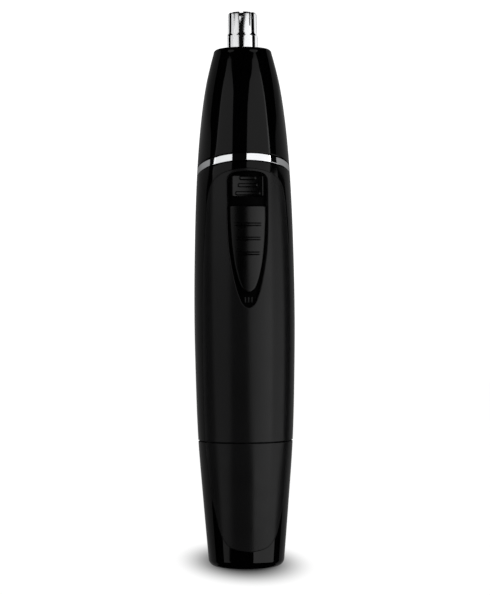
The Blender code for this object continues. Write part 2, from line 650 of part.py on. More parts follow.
def make_blade_carrier(finish, parent):
    """Black hub that fills the steel cap and holds the blades. The spindle's square tip drives it."""
    low, high, radius = CARRIER
    stem, stem_foot = BLADE_STEM
    thickness, foot, top = BLADE
    hub = turned("blade_carrier", [(0.0, low), (radius, low), (radius, high - 0.3), (radius - 0.3, high), (0.0, high)],
                 finish, parent, SMALL_ROUND)
    shape(hub, "DIFFERENCE", block("carrier_socket", (-1.1, 1.1), (-1.1, 1.1), (128.0, 131.1)),
          turned("carrier_bore", [(0.0, stem_foot - FIT), (stem + FIT, stem_foot - FIT), (stem + FIT, high + 1),
                                  (0.0, high + 1)], sides=SMALL_ROUND))
    seat = [(0.0, foot - FIT), (4.0, foot - FIT), (4.0, top + 1), (0.0, top + 1)]
    for k in range(BLADES):
        tool = plate(seat, thickness + 2 * FIT, FIRST_BLADE + math.tau * k / BLADES)
        shape(hub, "DIFFERENCE", add(f"blade_seat_{k + 1}", tool))
    return hub


def make_inner_cutter(finish, parent):
    """Three blades on a stem that is pressed into the carrier. They sweep the slots."""
    radius, low = BLADE_STEM
    thickness, foot, top = BLADE
    stem = turned("inner_cutter", [(0.0, low), (radius, low), (radius, top - 0.7), (0.0, top - 0.7)], finish, parent,
                  SMALL_ROUND)
    outline = [(0.0, foot), (2.3, foot), (2.95, foot + 1.1), (2.95, top - 0.3), (2.65, top), (0.7, top),
               (0.0, top - 1.3)]
    for k in range(BLADES):
        shape(stem, "UNION", add(f"blade_{k + 1}", plate(outline, thickness, FIRST_BLADE + math.tau * k / BLADES)))
    return stem


def make_drive_spindle(finish, parent):
    """Shaft from the hexagonal socket, past the spring's flange, to the square tip."""
    outline = [(0.0, 96.2), (3.0, 96.2), (3.0, 102.2), (1.5, 103.4), (1.5, 123.2), (2.7, 123.2), (2.7, 124.2),
               (1.5, 124.2), (1.5, 128.6), (0.0, 128.6)]
    spindle = turned("drive_spindle", outline, finish, parent, SMALL_ROUND)
    tip = block("spindle_tip", (-0.95, 0.95), (-0.95, 0.95), (128.0, 130.8))
    socket = prism("spindle_socket", hexagon(HEX_SOCKET), 95.0, 101.6, axis="Z")
    return shape(shape(spindle, "UNION", tip), "DIFFERENCE", socket)


def make_cutter_spring(finish, parent):
    return wire("cutter_spring", coil(2.25, 2.25, 116.1, 122.7, 5.5), 0.25, finish, parent, 1)


# ---------------------------------------------------------------- wiring

def make_wires(red, black, parent):
    """Red from the switch to one motor terminal, black from the other terminal to the back strip."""
    down = [(4.9, -6.0, 86.6), (5.5, -5.3, 86.2), (6.0, -4.7, 84.0), (6.2, -4.4, 76.0), (6.2, -4.4, 68.0),
            (5.9, -4.0, 62.5), (5.0, -2.5, 61.2), (4.2, -1.0, 61.2)]
    back = [(-4.3, 1.2, 61.2), (-3.9, 3.2, 61.3), (-2.6, 5.6, 61.4), (-1.2, 7.0, 61.6)]
    wire("wire_red", smooth(down, 3), 0.32, red, parent, 1)
    wire("wire_black", smooth(back, 3), 0.32, black, parent, 1)


def main():
    start_scene()
    gloss = material("gloss_black", (0.006, 0.006, 0.007), 0.08)
    satin = material("satin_black", (0.012, 0.012, 0.013), 0.38)
    grip = material("grip_black", (0.01, 0.01, 0.011), 0.3)
    chrome = material("chrome", (0.9, 0.9, 0.92), 0.05, 1.0)
    steel = material("cutter_steel", (0.78, 0.79, 0.8), 0.15, 1.0)
    spring_steel = material("spring_steel", (0.6, 0.6, 0.62), 0.3, 1.0)
    zinc = material("zinc_steel", (0.62, 0.64, 0.66), 0.35, 1.0)
    brass = material("contact_brass", (0.78, 0.6, 0.28), 0.3, 1.0)
    copper = material("winding_copper", (0.72, 0.36, 0.18), 0.4, 1.0)
    ferrite = material("ferrite", (0.05, 0.05, 0.055), 0.6)
    nylon_black = material("nylon_black", (0.03, 0.03, 0.032), 0.5)
    nylon_white = material("nylon_white", (0.82, 0.82, 0.78), 0.45)
    rubber = material("rubber", (0.02, 0.02, 0.02), 0.7)
    jacket = material("cell_jacket", (0.12, 0.2, 0.3), 0.35)
    red = material("wire_red", (0.6, 0.03, 0.02), 0.5)
    black = material("wire_black", (0.02, 0.02, 0.02), 0.5)

    cap = body("cap")
    handle = body("handle", SPIGOT_FOOT, cap)
    slide = body("slide", PEG[1], handle)
    rotor = body("motor_rotor", MOTOR[0], handle)
    head = body("head", NECK_TOP, handle)
    cutter = body("cutter_rotor", CUTTER_STEP, head)

    make_battery_cap(gloss, cap)
    make_cap_panel(satin, cap)
    make_negative_contact(brass, cap)
    make_negative_spring(spring_steel, cap)
    make_battery_cell(jacket, cap)

    make_body_shell(gloss, handle)
    make_front_panel(satin, handle)
    make_slide_track(satin, handle)
    make_trim_ring(chrome, handle)
    make_chassis(nylon_black, handle)
    make_seal("cap_seal", 27.8, 9.05, 0.4, rubber, handle)
    make_seal("head_seal", 104.3, 8.72, 0.38, rubber, handle)
    make_positive_contact(brass, handle)
    make_switch_contact(brass, handle)
    make_negative_strip(brass, handle)
    make_motor_can(zinc, handle)
    make_magnet("motor_magnet_left", -1, ferrite, handle)
    make_magnet("motor_magnet_right", 1, ferrite, handle)
    make_motor_end_cap(nylon_white, handle)
    make_terminal("motor_terminal_left", -1, brass, handle)
    make_terminal("motor_terminal_right", 1, brass, handle)
    make_motor_mount(rubber, handle)
    make_screw("motor_screw_left", -SCREW_AT, zinc, handle)
    make_screw("motor_screw_right", SCREW_AT, zinc, handle)
    make_wires(red, black, handle)

    make_motor_shaft(spring_steel, rotor)
    make_armature(copper, rotor)
    make_commutator(copper, rotor)
    make_drive_coupler(nylon_white, rotor)

    make_slide_knob(grip, slide)
    make_thumb_grip(grip, slide)
    make_slide_carrier(nylon_white, slide)
    make_switch_bridge(brass, slide)

    make_head_shell(gloss, head)
    make_cutter_holder(nylon_black, head)
    make_outer_cutter(steel, head)

    make_blade_carrier(nylon_black, cutter)
    make_inner_cutter(steel, cutter)
    make_drive_spindle(nylon_white, cutter)
    make_cutter_spring(spring_steel, cutter)


main()
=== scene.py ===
"""Looks of the nose hair trimmer: fine surfaces, materials, soft studio light and the camera.

Lengths are in millimetres until a mesh is made. +Z runs up the barrel, and the switch faces -Y. An angle
round the barrel counts from the front, positive towards +X.
"""

import json
import math

import bmesh
import bpy
import numpy as np
from mathutils import Matrix, Vector


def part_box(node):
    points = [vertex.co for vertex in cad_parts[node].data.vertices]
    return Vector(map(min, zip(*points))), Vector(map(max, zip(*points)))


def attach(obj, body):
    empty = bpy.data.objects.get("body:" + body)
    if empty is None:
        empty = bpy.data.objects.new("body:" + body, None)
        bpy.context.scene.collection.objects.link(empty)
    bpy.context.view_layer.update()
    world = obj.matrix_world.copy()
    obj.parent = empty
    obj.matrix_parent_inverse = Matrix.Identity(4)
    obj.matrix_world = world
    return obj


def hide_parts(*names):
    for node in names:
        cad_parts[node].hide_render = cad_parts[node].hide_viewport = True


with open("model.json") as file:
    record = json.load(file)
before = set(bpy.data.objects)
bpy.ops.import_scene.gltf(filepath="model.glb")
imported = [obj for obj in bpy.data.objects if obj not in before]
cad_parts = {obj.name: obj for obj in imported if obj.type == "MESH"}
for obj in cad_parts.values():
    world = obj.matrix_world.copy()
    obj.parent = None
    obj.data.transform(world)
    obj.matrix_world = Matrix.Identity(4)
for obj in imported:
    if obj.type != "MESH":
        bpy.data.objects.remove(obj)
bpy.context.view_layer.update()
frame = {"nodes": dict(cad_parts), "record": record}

MM = 0.001

# The barrel's outline, (height, radius), as the CAD has it.
BARREL = (
    (0.0, 9.27), (16.0, 10.6), (31.4, 11.75), (46.0, 12.26), (64.0, 12.5), (82.0, 12.21),
    (96.0, 11.66), (106.0, 10.95), (114.0, 10.06), (120.0, 9.1), (125.0, 7.93), (128.6, 6.93),
)
TILT = 0.285  # rise of the slanted parting planes per mm towards the front
RING_LOW = 97.1
RING_HIGH = 98.85
SEAM = 31.4
FIT = 0.15
SHELL_BORE = 9.3  # of the barrel shell's top, below the ring
SHELL_LIP = 3.0  # how far that bore is drawn down
PANEL_FIT = 0.03  # the satin panels sit tight in the shells
PANEL_LIP = 0.9  # how far the panel's and the shells' edges turn in
SIDE_COLUMNS, FOOT_COLUMNS = 210, 46  # of a panel's mesh, along its side and along its foot

# Right halves of outlines in the front view, (x, height).
PANEL_HALF = (
    (0.0, 98.4), (5.4, 97.5), (8.3, 95.3), (9.5, 91.5), (10.0, 85.5), (10.7, 75.0), (10.95, 62.0),
    (10.85, 46.0), (10.5, 31.4), (9.9, 25.5), (9.0, 18.5), (7.9, 13.0), (6.6, 8.3), (4.4, 5.6), (0.0, 4.7),
)
CHANNEL_HALF = (
    (0.0, 97.7), (3.3, 97.35), (4.75, 96.3), (5.03, 94.3), (5.03, 86.0), (4.8, 80.0), (4.25, 75.3),
    (3.5, 71.3), (2.65, 68.0), (1.55, 65.4), (0.0, 64.4),
)
SHIELD_HALF = ((4.45, 86.0), (4.15, 80.8), (3.6, 76.0), (2.9, 72.6), (2.15, 70.2), (1.3, 68.6), (0.0, 67.9))

SHIELD_TOP = 89.3
SHIELD_CORNER = 0.5
SHIELD_BACK = 11.68  # radius of its back, clear of the panel and of the channel's bars
SHIELD_EDGE = 0.42  # its edge's rounding
SHIELD_CROWN = 0.3  # how far its sides fall below a cylinder
SLIDE_FACE = 12.45
GROOVES = ((3.3, 84.65), (3.07, 81.2), (2.87, 77.6))  # half length, height
GROOVE = (0.3, 0.13, 0.09)  # distance above and below each height, half width, depth
BEADS = ((0.0, 0.2, 0.02), (-0.52, 0.15, 0.02))  # raised lines by each height: place, half width, rise
TONGUE = (2.9, 88.0, 96.2)  # half width, foot, top
TONGUE_FACE = (91.0, 0.85)  # at this height its face lies this deep below the barrel
GRIP = (3.85, 91.37, 96.7)  # half width, foot, top
GRIP_FACE = 12.15
GRIP_RIBS = ((1.95, 95.97), (2.35, 94.2), (3.0, 92.25))  # half length, height
GRIP_RIB = (0.42, 0.5, 0.22, 0.24)  # length of its round end, half width at its foot, slope's width, rise
GRIP_BACK = 10.85
SCOOP_RADIUS = 17.0  # of its hollow
TRACK_DEPTH = 1.3
TRACK_BAR = (65.5, 67.1, 0.26, 0.24)  # foot, top, half width, edge's rounding
TRACK_BAR_PITCH = 0.8
TRACK_BAR_RISE = 0.3
CHANNEL_BACK = 10.9  # radius of the backs of what sits low in the channel

CUTTER_TOP = 137.7
CUTTER_STEP = 132.0
CUTTER_RADII = (3.86, 3.64)  # below the step, above it
CUTTER_BORE = ((3.42, 131.0), (3.15, 131.4))  # radius below and above a slope, with the slope's ends
CUTTER_FLANGE = (4.7, 125.5, 126.3)  # radius, foot, top
NOTCH = (1.2, -0.1, 0.85)  # half width, and foot and tip from the step
NOTCH_REACH = (2.9, 4.6)
SLOTS = 7
FIRST_SLOT = math.radians(-100.0)
NARROW_TURN = math.radians(36.0)  # from a wide slot to the narrow one beside it
SLOT_KINDS = (  # name, (width, distance of its inner end from the axis, foot), turn, places
    ("wide", (1.0, 1.4, 127.4), 0.0, range(SLOTS)),
    ("narrow", (0.3, 2.2, 134.2), NARROW_TURN, range(0, SLOTS - 1, 2)),
)
BLADE = (0.5, 134.4, 136.9)  # thickness, foot, top
BLADE_REACH = 2.95
BLADE_STEM = (0.85, 131.6)  # radius, foot
BLADES = 3
FIRST_BLADE = math.radians(-106.0)
BLADE_GROUND = 0.2  # how far a blade's outer edge is ground back on one side

# The cell's radius, foot, shoulder and the tip of its terminal.
CELL = (7.1, 6.6, 55.6, 56.6)
CELL_BAND = 44.0  # height from which its sleeve is lighter

# An edge's rounding: (distance in from the edge, depth), from the surface out to the edge.
EDGE = ((0.3, 0.0), (0.14, 0.0), (0.07, 0.02), (0.025, 0.065), (0.0, 0.14))
FINE_EDGE = tuple((0.4 * inward, 0.4 * depth) for inward, depth in EDGE)
EDGE_WIDTH = EDGE[0][0]


# ---------------------------------------------------------------- outlines

def barrel_radius(height):
    last = len(BARREL) - 1
    i = next((k for k in range(last) if height <= BARREL[k + 1][0]), last - 1)

    def slope(k):
        low, high = BARREL[max(k - 1, 0)], BARREL[min(k + 1, last)]
        return (high[1] - low[1]) / (high[0] - low[0])

    (z0, r0), (z1, r1) = BARREL[i], BARREL[i + 1]
    span = z1 - z0
    t = (height - z0) / span
    return (
        r0 * (2 * t**3 - 3 * t**2 + 1)
        + r1 * (3 * t**2 - 2 * t**3)
        + slope(i) * span * (t**3 - 2 * t**2 + t)
        + slope(i + 1) * span * (t**3 - t**2)
    )


def smooth(points, per_span=12):
    """A Catmull-Rom curve through the points."""
    padded = [points[0], *points, points[-1]]
    curve = []
    for a, b, c, d in zip(padded, padded[1:], padded[2:], padded[3:]):
        for k in range(per_span):
            t = k / per_span
            curve.append(tuple(
                0.5 * (
                    2 * q
                    + (r - p) * t
                    + (2 * p - 5 * q + 4 * r - s) * t**2
                    + (3 * q - p - 3 * r + s) * t**3
                )
                for p, q, r, s in zip(a, b, c, d)
            ))
    return [*curve, points[-1]]


def half_curve(half, per_span=12):
    """The right half of an outline as a fine curve that meets the middle line square."""
    first, last = half[1], half[-2]
    ends = [(-first[0], first[1]), *half, (-last[0], last[1])]
    whole = smooth(ends, per_span)[per_span:-per_span]
    return [(max(x, 0.0), z) for x, z in whole]


def resample(points, count):
    """The polyline as count + 1 points, evenly spaced along it."""
    line = np.array(points, float)
    run = np.concatenate([[0.0], np.cumsum(np.linalg.norm(np.diff(line, axis=0), axis=1))])
    marks = np.linspace(0.0, run[-1], count + 1)
    return np.stack([np.interp(marks, run, line[:, k]) for k in range(line.shape[1])], axis=1)


def unroll(points):
    """Front view (x, z) points as (distance round the barrel, z)."""
    return [(barrel_radius(z) * math.asin(x / barrel_radius(z)), z) for x, z in points]


def cut(curve, low=None, high=None):
    """The part of an (x, z) curve between two heights, with its ends exactly on them."""
    kept = []
    for (xa, za), (xb, zb) in zip(curve, curve[1:]):
        for limit in (low, high):
            if limit is not None and (za - limit) * (zb - limit) < 0:
                t = (limit - za) / (zb - za)
                kept.append((xa + t * (xb - xa), limit))
        if (low is None or zb >= low) and (high is None or zb <= high):
            kept.append((xb, zb))
    start = curve[0]
    if (low is None or start[1] >= low) and (high is None or start[1] <= high):
        kept.insert(0, start)
    return kept


def offset(line, distance, closed):
    """A polyline moved sideways: to its left for a positive distance. Square corners stay square."""
    line = np.asarray(line, float)
    before = np.roll(line, 1, axis=0)
    after = np.roll(line, -1, axis=0)
    if not closed:
        before[0] = line[0] - (line[1] - line[0])
        after[-1] = line[-1] + (line[-1] - line[-2])
    into, out = line - before, after - line
    into /= np.maximum(np.linalg.norm(into, axis=1, keepdims=True), 1e-9)
    out /= np.maximum(np.linalg.norm(out, axis=1, keepdims=True), 1e-9)
    along = into + out
    along /= np.maximum(np.linalg.norm(along, axis=1, keepdims=True), 1e-9)
    lean = np.maximum((along * into).sum(axis=1, keepdims=True), 0.5)
    return line + np.stack([-along[:, 1], along[:, 0]], axis=1) * distance / lean


def arc(centre, radius, start, end, steps):
    angles = [math.radians(start + (end - start) * k / steps) for k in range(steps + 1)]
    return [(centre[0] + radius * math.cos(a), centre[1] + radius * math.sin(a)) for a in angles]


def place(round_to, height, depth=0.0):
    """The point on the barrel that far round and up, set in by depth."""
    radius = barrel_radius(height)
    angle = round_to / radius
    return ((radius - depth) * math.sin(angle), -(radius - depth) * math.cos(angle), height)


# ---------------------------------------------------------------- making meshes

def add_mesh(name, vertices, faces, body, node, slot, material):
    """A piece from millimetre points: it rides on the body, and stands for the CAD node."""
    mesh = bpy.data.meshes.new(name)
    mesh.from_pydata([tuple(c * MM for c in v) for v in vertices], [], faces)
    obj = bpy.data.objects.new(name, mesh)
    bpy.context.scene.collection.objects.link(obj)
    bm = bmesh.new()
    bm.from_mesh(mesh)
    bmesh.ops.remove_doubles(bm, verts=bm.verts, dist=2e-6)
    bmesh.ops.dissolve_degenerate(bm, edges=bm.edges, dist=1e-7)
    bmesh.ops.recalc_face_normals(bm, faces=bm.faces)
    bm.to_mesh(mesh)
    bm.free()
    dress(obj, body, node, material)


def dress(obj, body, node, material, sharp=40.0, weighted=True):
    """Smooth shading, material, body and the CAD node that the piece stands for."""
    obj.data.shade_smooth()
    obj.data.set_sharp_from_angle(angle=math.radians(sharp))
    if weighted:
        modifier = obj.modifiers.new("even_normals", "WEIGHTED_NORMAL")
        modifier.keep_sharp = True
    obj.data.materials.clear()
    obj.data.materials.append(material)
    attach(obj, body)
    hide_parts(node)


def strip_faces(rows, closed):
    """Vertices and quads from rows of points. Rows may differ in length: only shared columns are joined."""
    vertices, starts, faces = [], [], []
    for row in rows:
        starts.append(len(vertices))
        vertices += [tuple(p) for p in row]
    for k in range(len(rows) - 1):
        shared = min(len(rows[k]), len(rows[k + 1]))
        a, b = starts[k], starts[k + 1]
        faces += [(a + j, a + j + 1, b + j + 1, b + j) for j in range(shared - 1)]
        if closed:
            faces.append((a + shared - 1, a, b, b + shared - 1))
    return vertices, faces


def mirror_half(vertices, faces):
    """Adds the mirror image in X."""
    count = len(vertices)
    both = vertices + [(-x, y, z) for x, y, z in vertices]
    return both, faces + [tuple(count + i for i in reversed(face)) for face in faces]


def merge(*meshes):
    vertices, faces = [], []
    for more_vertices, more_faces in meshes:
        count = len(vertices)
        vertices += more_vertices
        faces += [tuple(count + i for i in face) for face in more_faces]
    return vertices, faces


def turned(profile, sides=160):
    """A closed turned mesh. profile(angle) gives the same number of (radius, height) points at each angle."""
    rows = []
    for k in range(sides):
        angle = math.tau * k / sides
        rows.append([(r * math.sin(angle), -r * math.cos(angle), z) for r, z in profile(angle)])
    return strip_faces([*rows, rows[0]], False)


def slanted_height(plane, radius, angle):
    """Height of a slanted plane at a radius and an angle, from where it meets the axis."""
    return plane + TILT * radius * math.cos(angle)


def slanted_edge(plane, angle):
    """Height at which the barrel's surface meets a slanted plane."""
    height = plane
    for _ in range(8):
        height = slanted_height(plane, barrel_radius(height), angle)
    return height


def spread(low, high, count):
    return [low + (high - low) * k / count for k in range(count + 1)]


# ---------------------------------------------------------------- barrel pieces

def rounded_loops(line, inward, closed, edge=EDGE):
    """An edge's loops from its turned-in lip up to the surface: [(points, depth), ...]."""
    loops = [(line, PANEL_LIP)]
    return loops + [(offset(line, inward * d, closed), depth) for d, depth in reversed(edge)]


def mirrored_loop(half):
    """A closed loop from a half line that starts and ends on the middle."""
    half = np.asarray(half, float)
    other = half[1:-1][::-1] * np.array([-1.0, 1.0])
    return np.concatenate([half, other])


def loops_mesh(loops):
    return strip_faces([[place(u, z, depth) for u, z in line] for line, depth in loops], True)


def panel_mesh(side, foot, inner=None, lip=PANEL_LIP, steps=18):
    """A skin on the barrel within an outline: its long side, its foot, and a hole or a middle line inside."""
    half = np.concatenate([resample(side, SIDE_COLUMNS), resample(foot, FOOT_COLUMNS)[1:]])
    count = SIDE_COLUMNS + FOOT_COLUMNS
    outer = mirrored_loop(half)
    turn = -1.0 if area(outer) < 0 else 1.0
    loops = rounded_loops(outer, turn, True, FINE_EDGE)
    edge = loops[-1][0]
    if inner is None:
        low, high = half[:, 1].min(), half[:, 1].max()
        reach = min(8.0, (high - low) / 3)
        ends = (high - reach, low + reach) if half[0, 1] > half[-1, 1] else (low + reach, high - reach)
        spine = np.stack([np.zeros(count + 1), np.linspace(*ends, count + 1)], axis=1)
        middle, closing = mirrored_loop(spine), []
    else:
        rim = mirrored_loop(resample(inner, count))
        turn = 1.0 if area(rim) < 0 else -1.0
        closing = rounded_loops(rim, turn, True)[::-1]
        closing[-1] = (closing[-1][0], lip)
        middle = closing[0][0]
    field = [(edge + (middle - edge) * t, 0.0) for t in spread(0.0, 1.0, steps)[1:]]
    return loops_mesh(loops + field + closing[1:])


def area(loop):
    after = np.roll(loop, -1, axis=0)
    return 0.5 * float((loop[:, 0] * after[:, 1] - after[:, 0] * loop[:, 1]).sum())


def arch_mesh(panel_side, seam, up, edge_height, edge_columns, columns=44):
    """The barrel round a panel, from the seam to an edge all the way round. up is +1 or -1.

    Each row runs from a point of the panel's side to the middle of the back or, past the corner, to the edge.
    """
    count = 260
    corner = int(count * 0.52)
    line = resample(panel_side, count)
    wall = rounded_loops(line, -up, False, FINE_EDGE)
    for points, _ in wall:
        points[0, 1] = line[0, 1]
        points[-1, 0] = 0.0
    start, top = line[0, 1], edge_height(math.pi) - up * EDGE_WIDTH
    back = [(math.pi, z) for z in spread(start, top, corner)]
    round_edge = [(a, edge_height(a) - up * EDGE_WIDTH) for a in spread(math.pi, 0.0, count - corner)[1:]]
    outer = back + round_edge
    rows = []
    for k in range(count + 1):
        row = [place(points[k, 0], points[k, 1], depth) for points, depth in wall]
        u, z = wall[-1][0][k]
        angle = u / barrel_radius(z)
        for t in spread(0.0, 1.0, columns)[1:]:
            a, h = angle + (outer[k][0] - angle) * t, z + (outer[k][1] - z) * t
            row.append(place(a * barrel_radius(h), h))
        if k >= corner:
            row += edge_columns(outer[k][0])
        rows.append(row)
    seam_rows = []
    for inset, depth in ((0.0, PANEL_LIP), *reversed(EDGE[1:])):
        height = seam + up * inset
        row = []
        for j, (x, y, _) in enumerate(rows[0][: len(wall) + columns]):
            angle = math.atan2(x, -y)
            deep = max(depth, wall[j][1]) if j < len(wall) else depth
            row.append(place(angle * barrel_radius(height), height, deep))
        seam_rows.append(row)
    return mirror_half(*strip_faces(seam_rows + rows, False))


def make_body_shell(material):
    seam = SEAM + FIT
    side = unroll(cut(half_curve(PANEL_HALF), low=seam + EDGE_WIDTH))[::-1]
    plane = RING_LOW - FIT

    def edge_height(angle):
        return slanted_edge(plane, angle)

    def edge_columns(angle):
        height = edge_height(angle)
        points = [place(angle * barrel_radius(height - d), height - d, depth) for d, depth in EDGE[1:]]
        low = slanted_height(plane, SHELL_BORE, angle)
        x, y = SHELL_BORE * math.sin(angle), -SHELL_BORE * math.cos(angle)
        return [*points, (x, y, low), (x, y, low - SHELL_LIP)]

    outside = arch_mesh(side, seam, 1.0, edge_height, edge_columns)
    rim, bore = barrel_radius(seam) - PANEL_LIP, 10.3
    liner = turned(lambda angle: [(rim, seam), (bore + 0.1, seam), (bore, seam + 0.1), (bore, seam + 5.0)])
    add_mesh("barrel_shell", *merge(outside, liner), "handle", "body_shell", "gloss_black", material)


def make_front_panel(material):
    seam = SEAM + FIT
    whole = unroll(cut(half_curve(PANEL_HALF), low=seam))
    outline = offset(whole, -PANEL_FIT, False)
    outline[0] = (0.0, whole[0][1] - PANEL_FIT)
    outline[-1, 1] = seam
    foot = [outline[-1], (0.0, seam)]
    hole = unroll(half_curve(CHANNEL_HALF))
    vertices, faces = panel_mesh(outline, foot, hole, lip=TRACK_DEPTH + 0.05)
    add_mesh("satin_panel", vertices, faces, "handle", "front_panel", "satin_black", material)


def make_battery_cap(material):
    """Cap with a round foot, a low ring that it stands on, and a bore for the spigot and the cell."""
    seam = SEAM - FIT
    fillet, rise = 1.8, 0.25
    side = unroll(cut(half_curve(PANEL_HALF), high=seam - EDGE_WIDTH))

    def edge_columns(angle):
        radius = barrel_radius(fillet + rise)
        points = arc((radius - fillet, fillet + rise), fillet, 0, -90, 14)
        points += [(5.8, rise), (5.6, 0.06), (5.5, 0.0), (4.3, 0.0), (4.2, 0.06), (4.1, rise), (0.0, rise)]
        return [(r * math.sin(angle), -r * math.cos(angle), z) for r, z in points]

    outside = arch_mesh(side, seam, -1.0, lambda angle: fillet + rise, edge_columns)
    rim, bore, floor = barrel_radius(seam) - PANEL_LIP, 9.6, 2.6
    inside = [(rim, seam), (bore + 0.15, seam), (bore, seam - 0.15), (bore, 24.4), (8.5, 23.6),
              (7.7, 2.7), (7.6, floor), (0.0, floor)]
    liner = turned(lambda angle: inside)
    add_mesh("cap_shell", *merge(outside, liner), "cap", "battery_cap", "gloss_black", material)


def make_cap_panel(material):
    seam = SEAM - FIT
    whole = unroll(cut(half_curve(PANEL_HALF), high=seam))
    outline = offset(whole, -PANEL_FIT, False)
    outline[0, 1] = seam
    outline[-1] = (0.0, whole[-1][1] + PANEL_FIT)
    foot = [(0.0, seam), tuple(outline[0])]
    vertices, faces = panel_mesh(outline[::-1], foot[::-1])
    add_mesh("cap_inlay", vertices, faces, "cap", "cap_panel", "satin_black", material)


def make_trim_ring(material):
    def profile(angle):
        low, high = slanted_edge(RING_LOW, angle), slanted_edge(RING_HIGH, angle)
        inner = 9.15
        points = [(inner, slanted_height(RING_LOW, inner, angle))]
        points += [(barrel_radius(low + d) - depth, low + d) for d, depth in reversed(FINE_EDGE)]
        points += [(barrel_radius(z), z) for z in spread(low + EDGE_WIDTH, high - EDGE_WIDTH, 4)[1:-1]]
        points += [(barrel_radius(high - d) - depth, high - d) for d, depth in FINE_EDGE]
        points += [(inner, slanted_height(RING_HIGH, inner, angle))]
        return [*points, points[0]]

    add_mesh("chrome_ring", *turned(profile, 240), "handle", "trim_ring", "chrome", material)


def make_head_shell(material):
    plane = RING_HIGH + FIT
    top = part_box("head_shell")[1][2] / MM
    edge, hole, bore, wall, ledge = 1.1, 4.0, 9.2, 1.9, 126.7
    crown = top - edge
    inner = [(5.9, ledge), *[(barrel_radius(z) - wall, z) for z in spread(125.0, 110.5, 8)], (bore, 109.2)]

    def profile(angle):
        low = slanted_edge(plane, angle)
        points = [(barrel_radius(low + d) - depth, low + d) for d, depth in reversed(EDGE)]
        points += [(barrel_radius(z), z) for z in spread(low + EDGE_WIDTH, crown, 60)[1:]]
        points += arc((barrel_radius(crown) - edge, crown), edge, 15, 90, 12)
        points += [(hole + 0.2, top), (hole + 0.06, top - 0.05), (hole, top - 0.2), (hole, ledge)]
        points += [*inner, (bore, slanted_height(plane, bore, angle))]
        return [*points, points[0]]

    add_mesh("nozzle", *turned(profile, 200), "head", "head_shell", "gloss_black", material)


# ---------------------------------------------------------------- slide switch

def distance_to(outline, x, z):
    """Distance from each (x, z) to a closed outline."""
    points = np.stack([x, z], axis=-1)[..., None, :]
    start = np.asarray(outline, float)
    step = np.roll(start, -1, axis=0) - start
    along = ((points - start) * step).sum(-1) / np.maximum((step**2).sum(-1), 1e-12)
    near = start + np.clip(along, 0.0, 1.0)[..., None] * step
    return np.sqrt(((points - near) ** 2).sum(-1)).min(-1)


def relief_mesh(heights, half_width, face, depth_at, back, columns=64):
    """A closed pad between cylinders of radius back and face, with its front set in by depth_at(x, z)."""
    across = np.sin(np.linspace(-math.pi / 2, math.pi / 2, columns + 1))
    heights = np.asarray(heights, float)
    widths = np.array([half_width(z) for z in heights])
    x = across[None, :] * widths[:, None]
    z = np.repeat(heights[:, None], columns + 1, axis=1)
    front = np.stack([x, -np.sqrt((face - depth_at(x, z)) ** 2 - x**2), z], axis=-1)
    under = np.stack([x, -np.sqrt(back**2 - x**2), z], axis=-1)
    rows = [[*front[k], *under[k][::-1]] for k in range(len(heights))]
    ends = [[*under[k], *under[k][::-1]] for k in (0, -1)]
    return strip_faces([ends[0], *rows, ends[1]], True)


def rounding(distance, radius):
    """Depth of a round edge of that radius at a distance in from the outline."""
    short = np.clip(1.0 - distance / radius, 0.0, 1.0)
    return radius * (1.0 - np.sqrt(1.0 - short**2))


def bump(value):
    """1 at 0, falling smoothly to 0 at +-1."""
    return np.clip(1.0 - value**2, 0.0, 1.0) ** 2


def width_of(outline):
    """A function that gives an outline's half width at a height."""
    right = sorted((z, x) for x, z in outline)
    zs, xs = [z for z, _ in right], [x for _, x in right]
    return lambda z: float(np.interp(z, zs, xs))


def shield_half():
    tip = SHIELD_HALF[-2]
    sides = smooth([*SHIELD_HALF, (-tip[0], tip[1])])[:-12]
    corner = arc((SHIELD_HALF[0][0] - SHIELD_CORNER, SHIELD_TOP - SHIELD_CORNER), SHIELD_CORNER, 90, 0, 8)
    return [(0.0, SHIELD_TOP), *corner, *sides]


def rounded_half(half_width, low, high, corner):
    top = arc((half_width - corner, high - corner), corner, 90, 0, 8)
    foot = arc((half_width - corner, low + corner), corner, 0, -90, 8)
    return [(0.0, high), *top, *foot, (0.0, low)]


def loop_of(half):
    return [*half, *((-x, z) for x, z in reversed(half[1:-1]))]


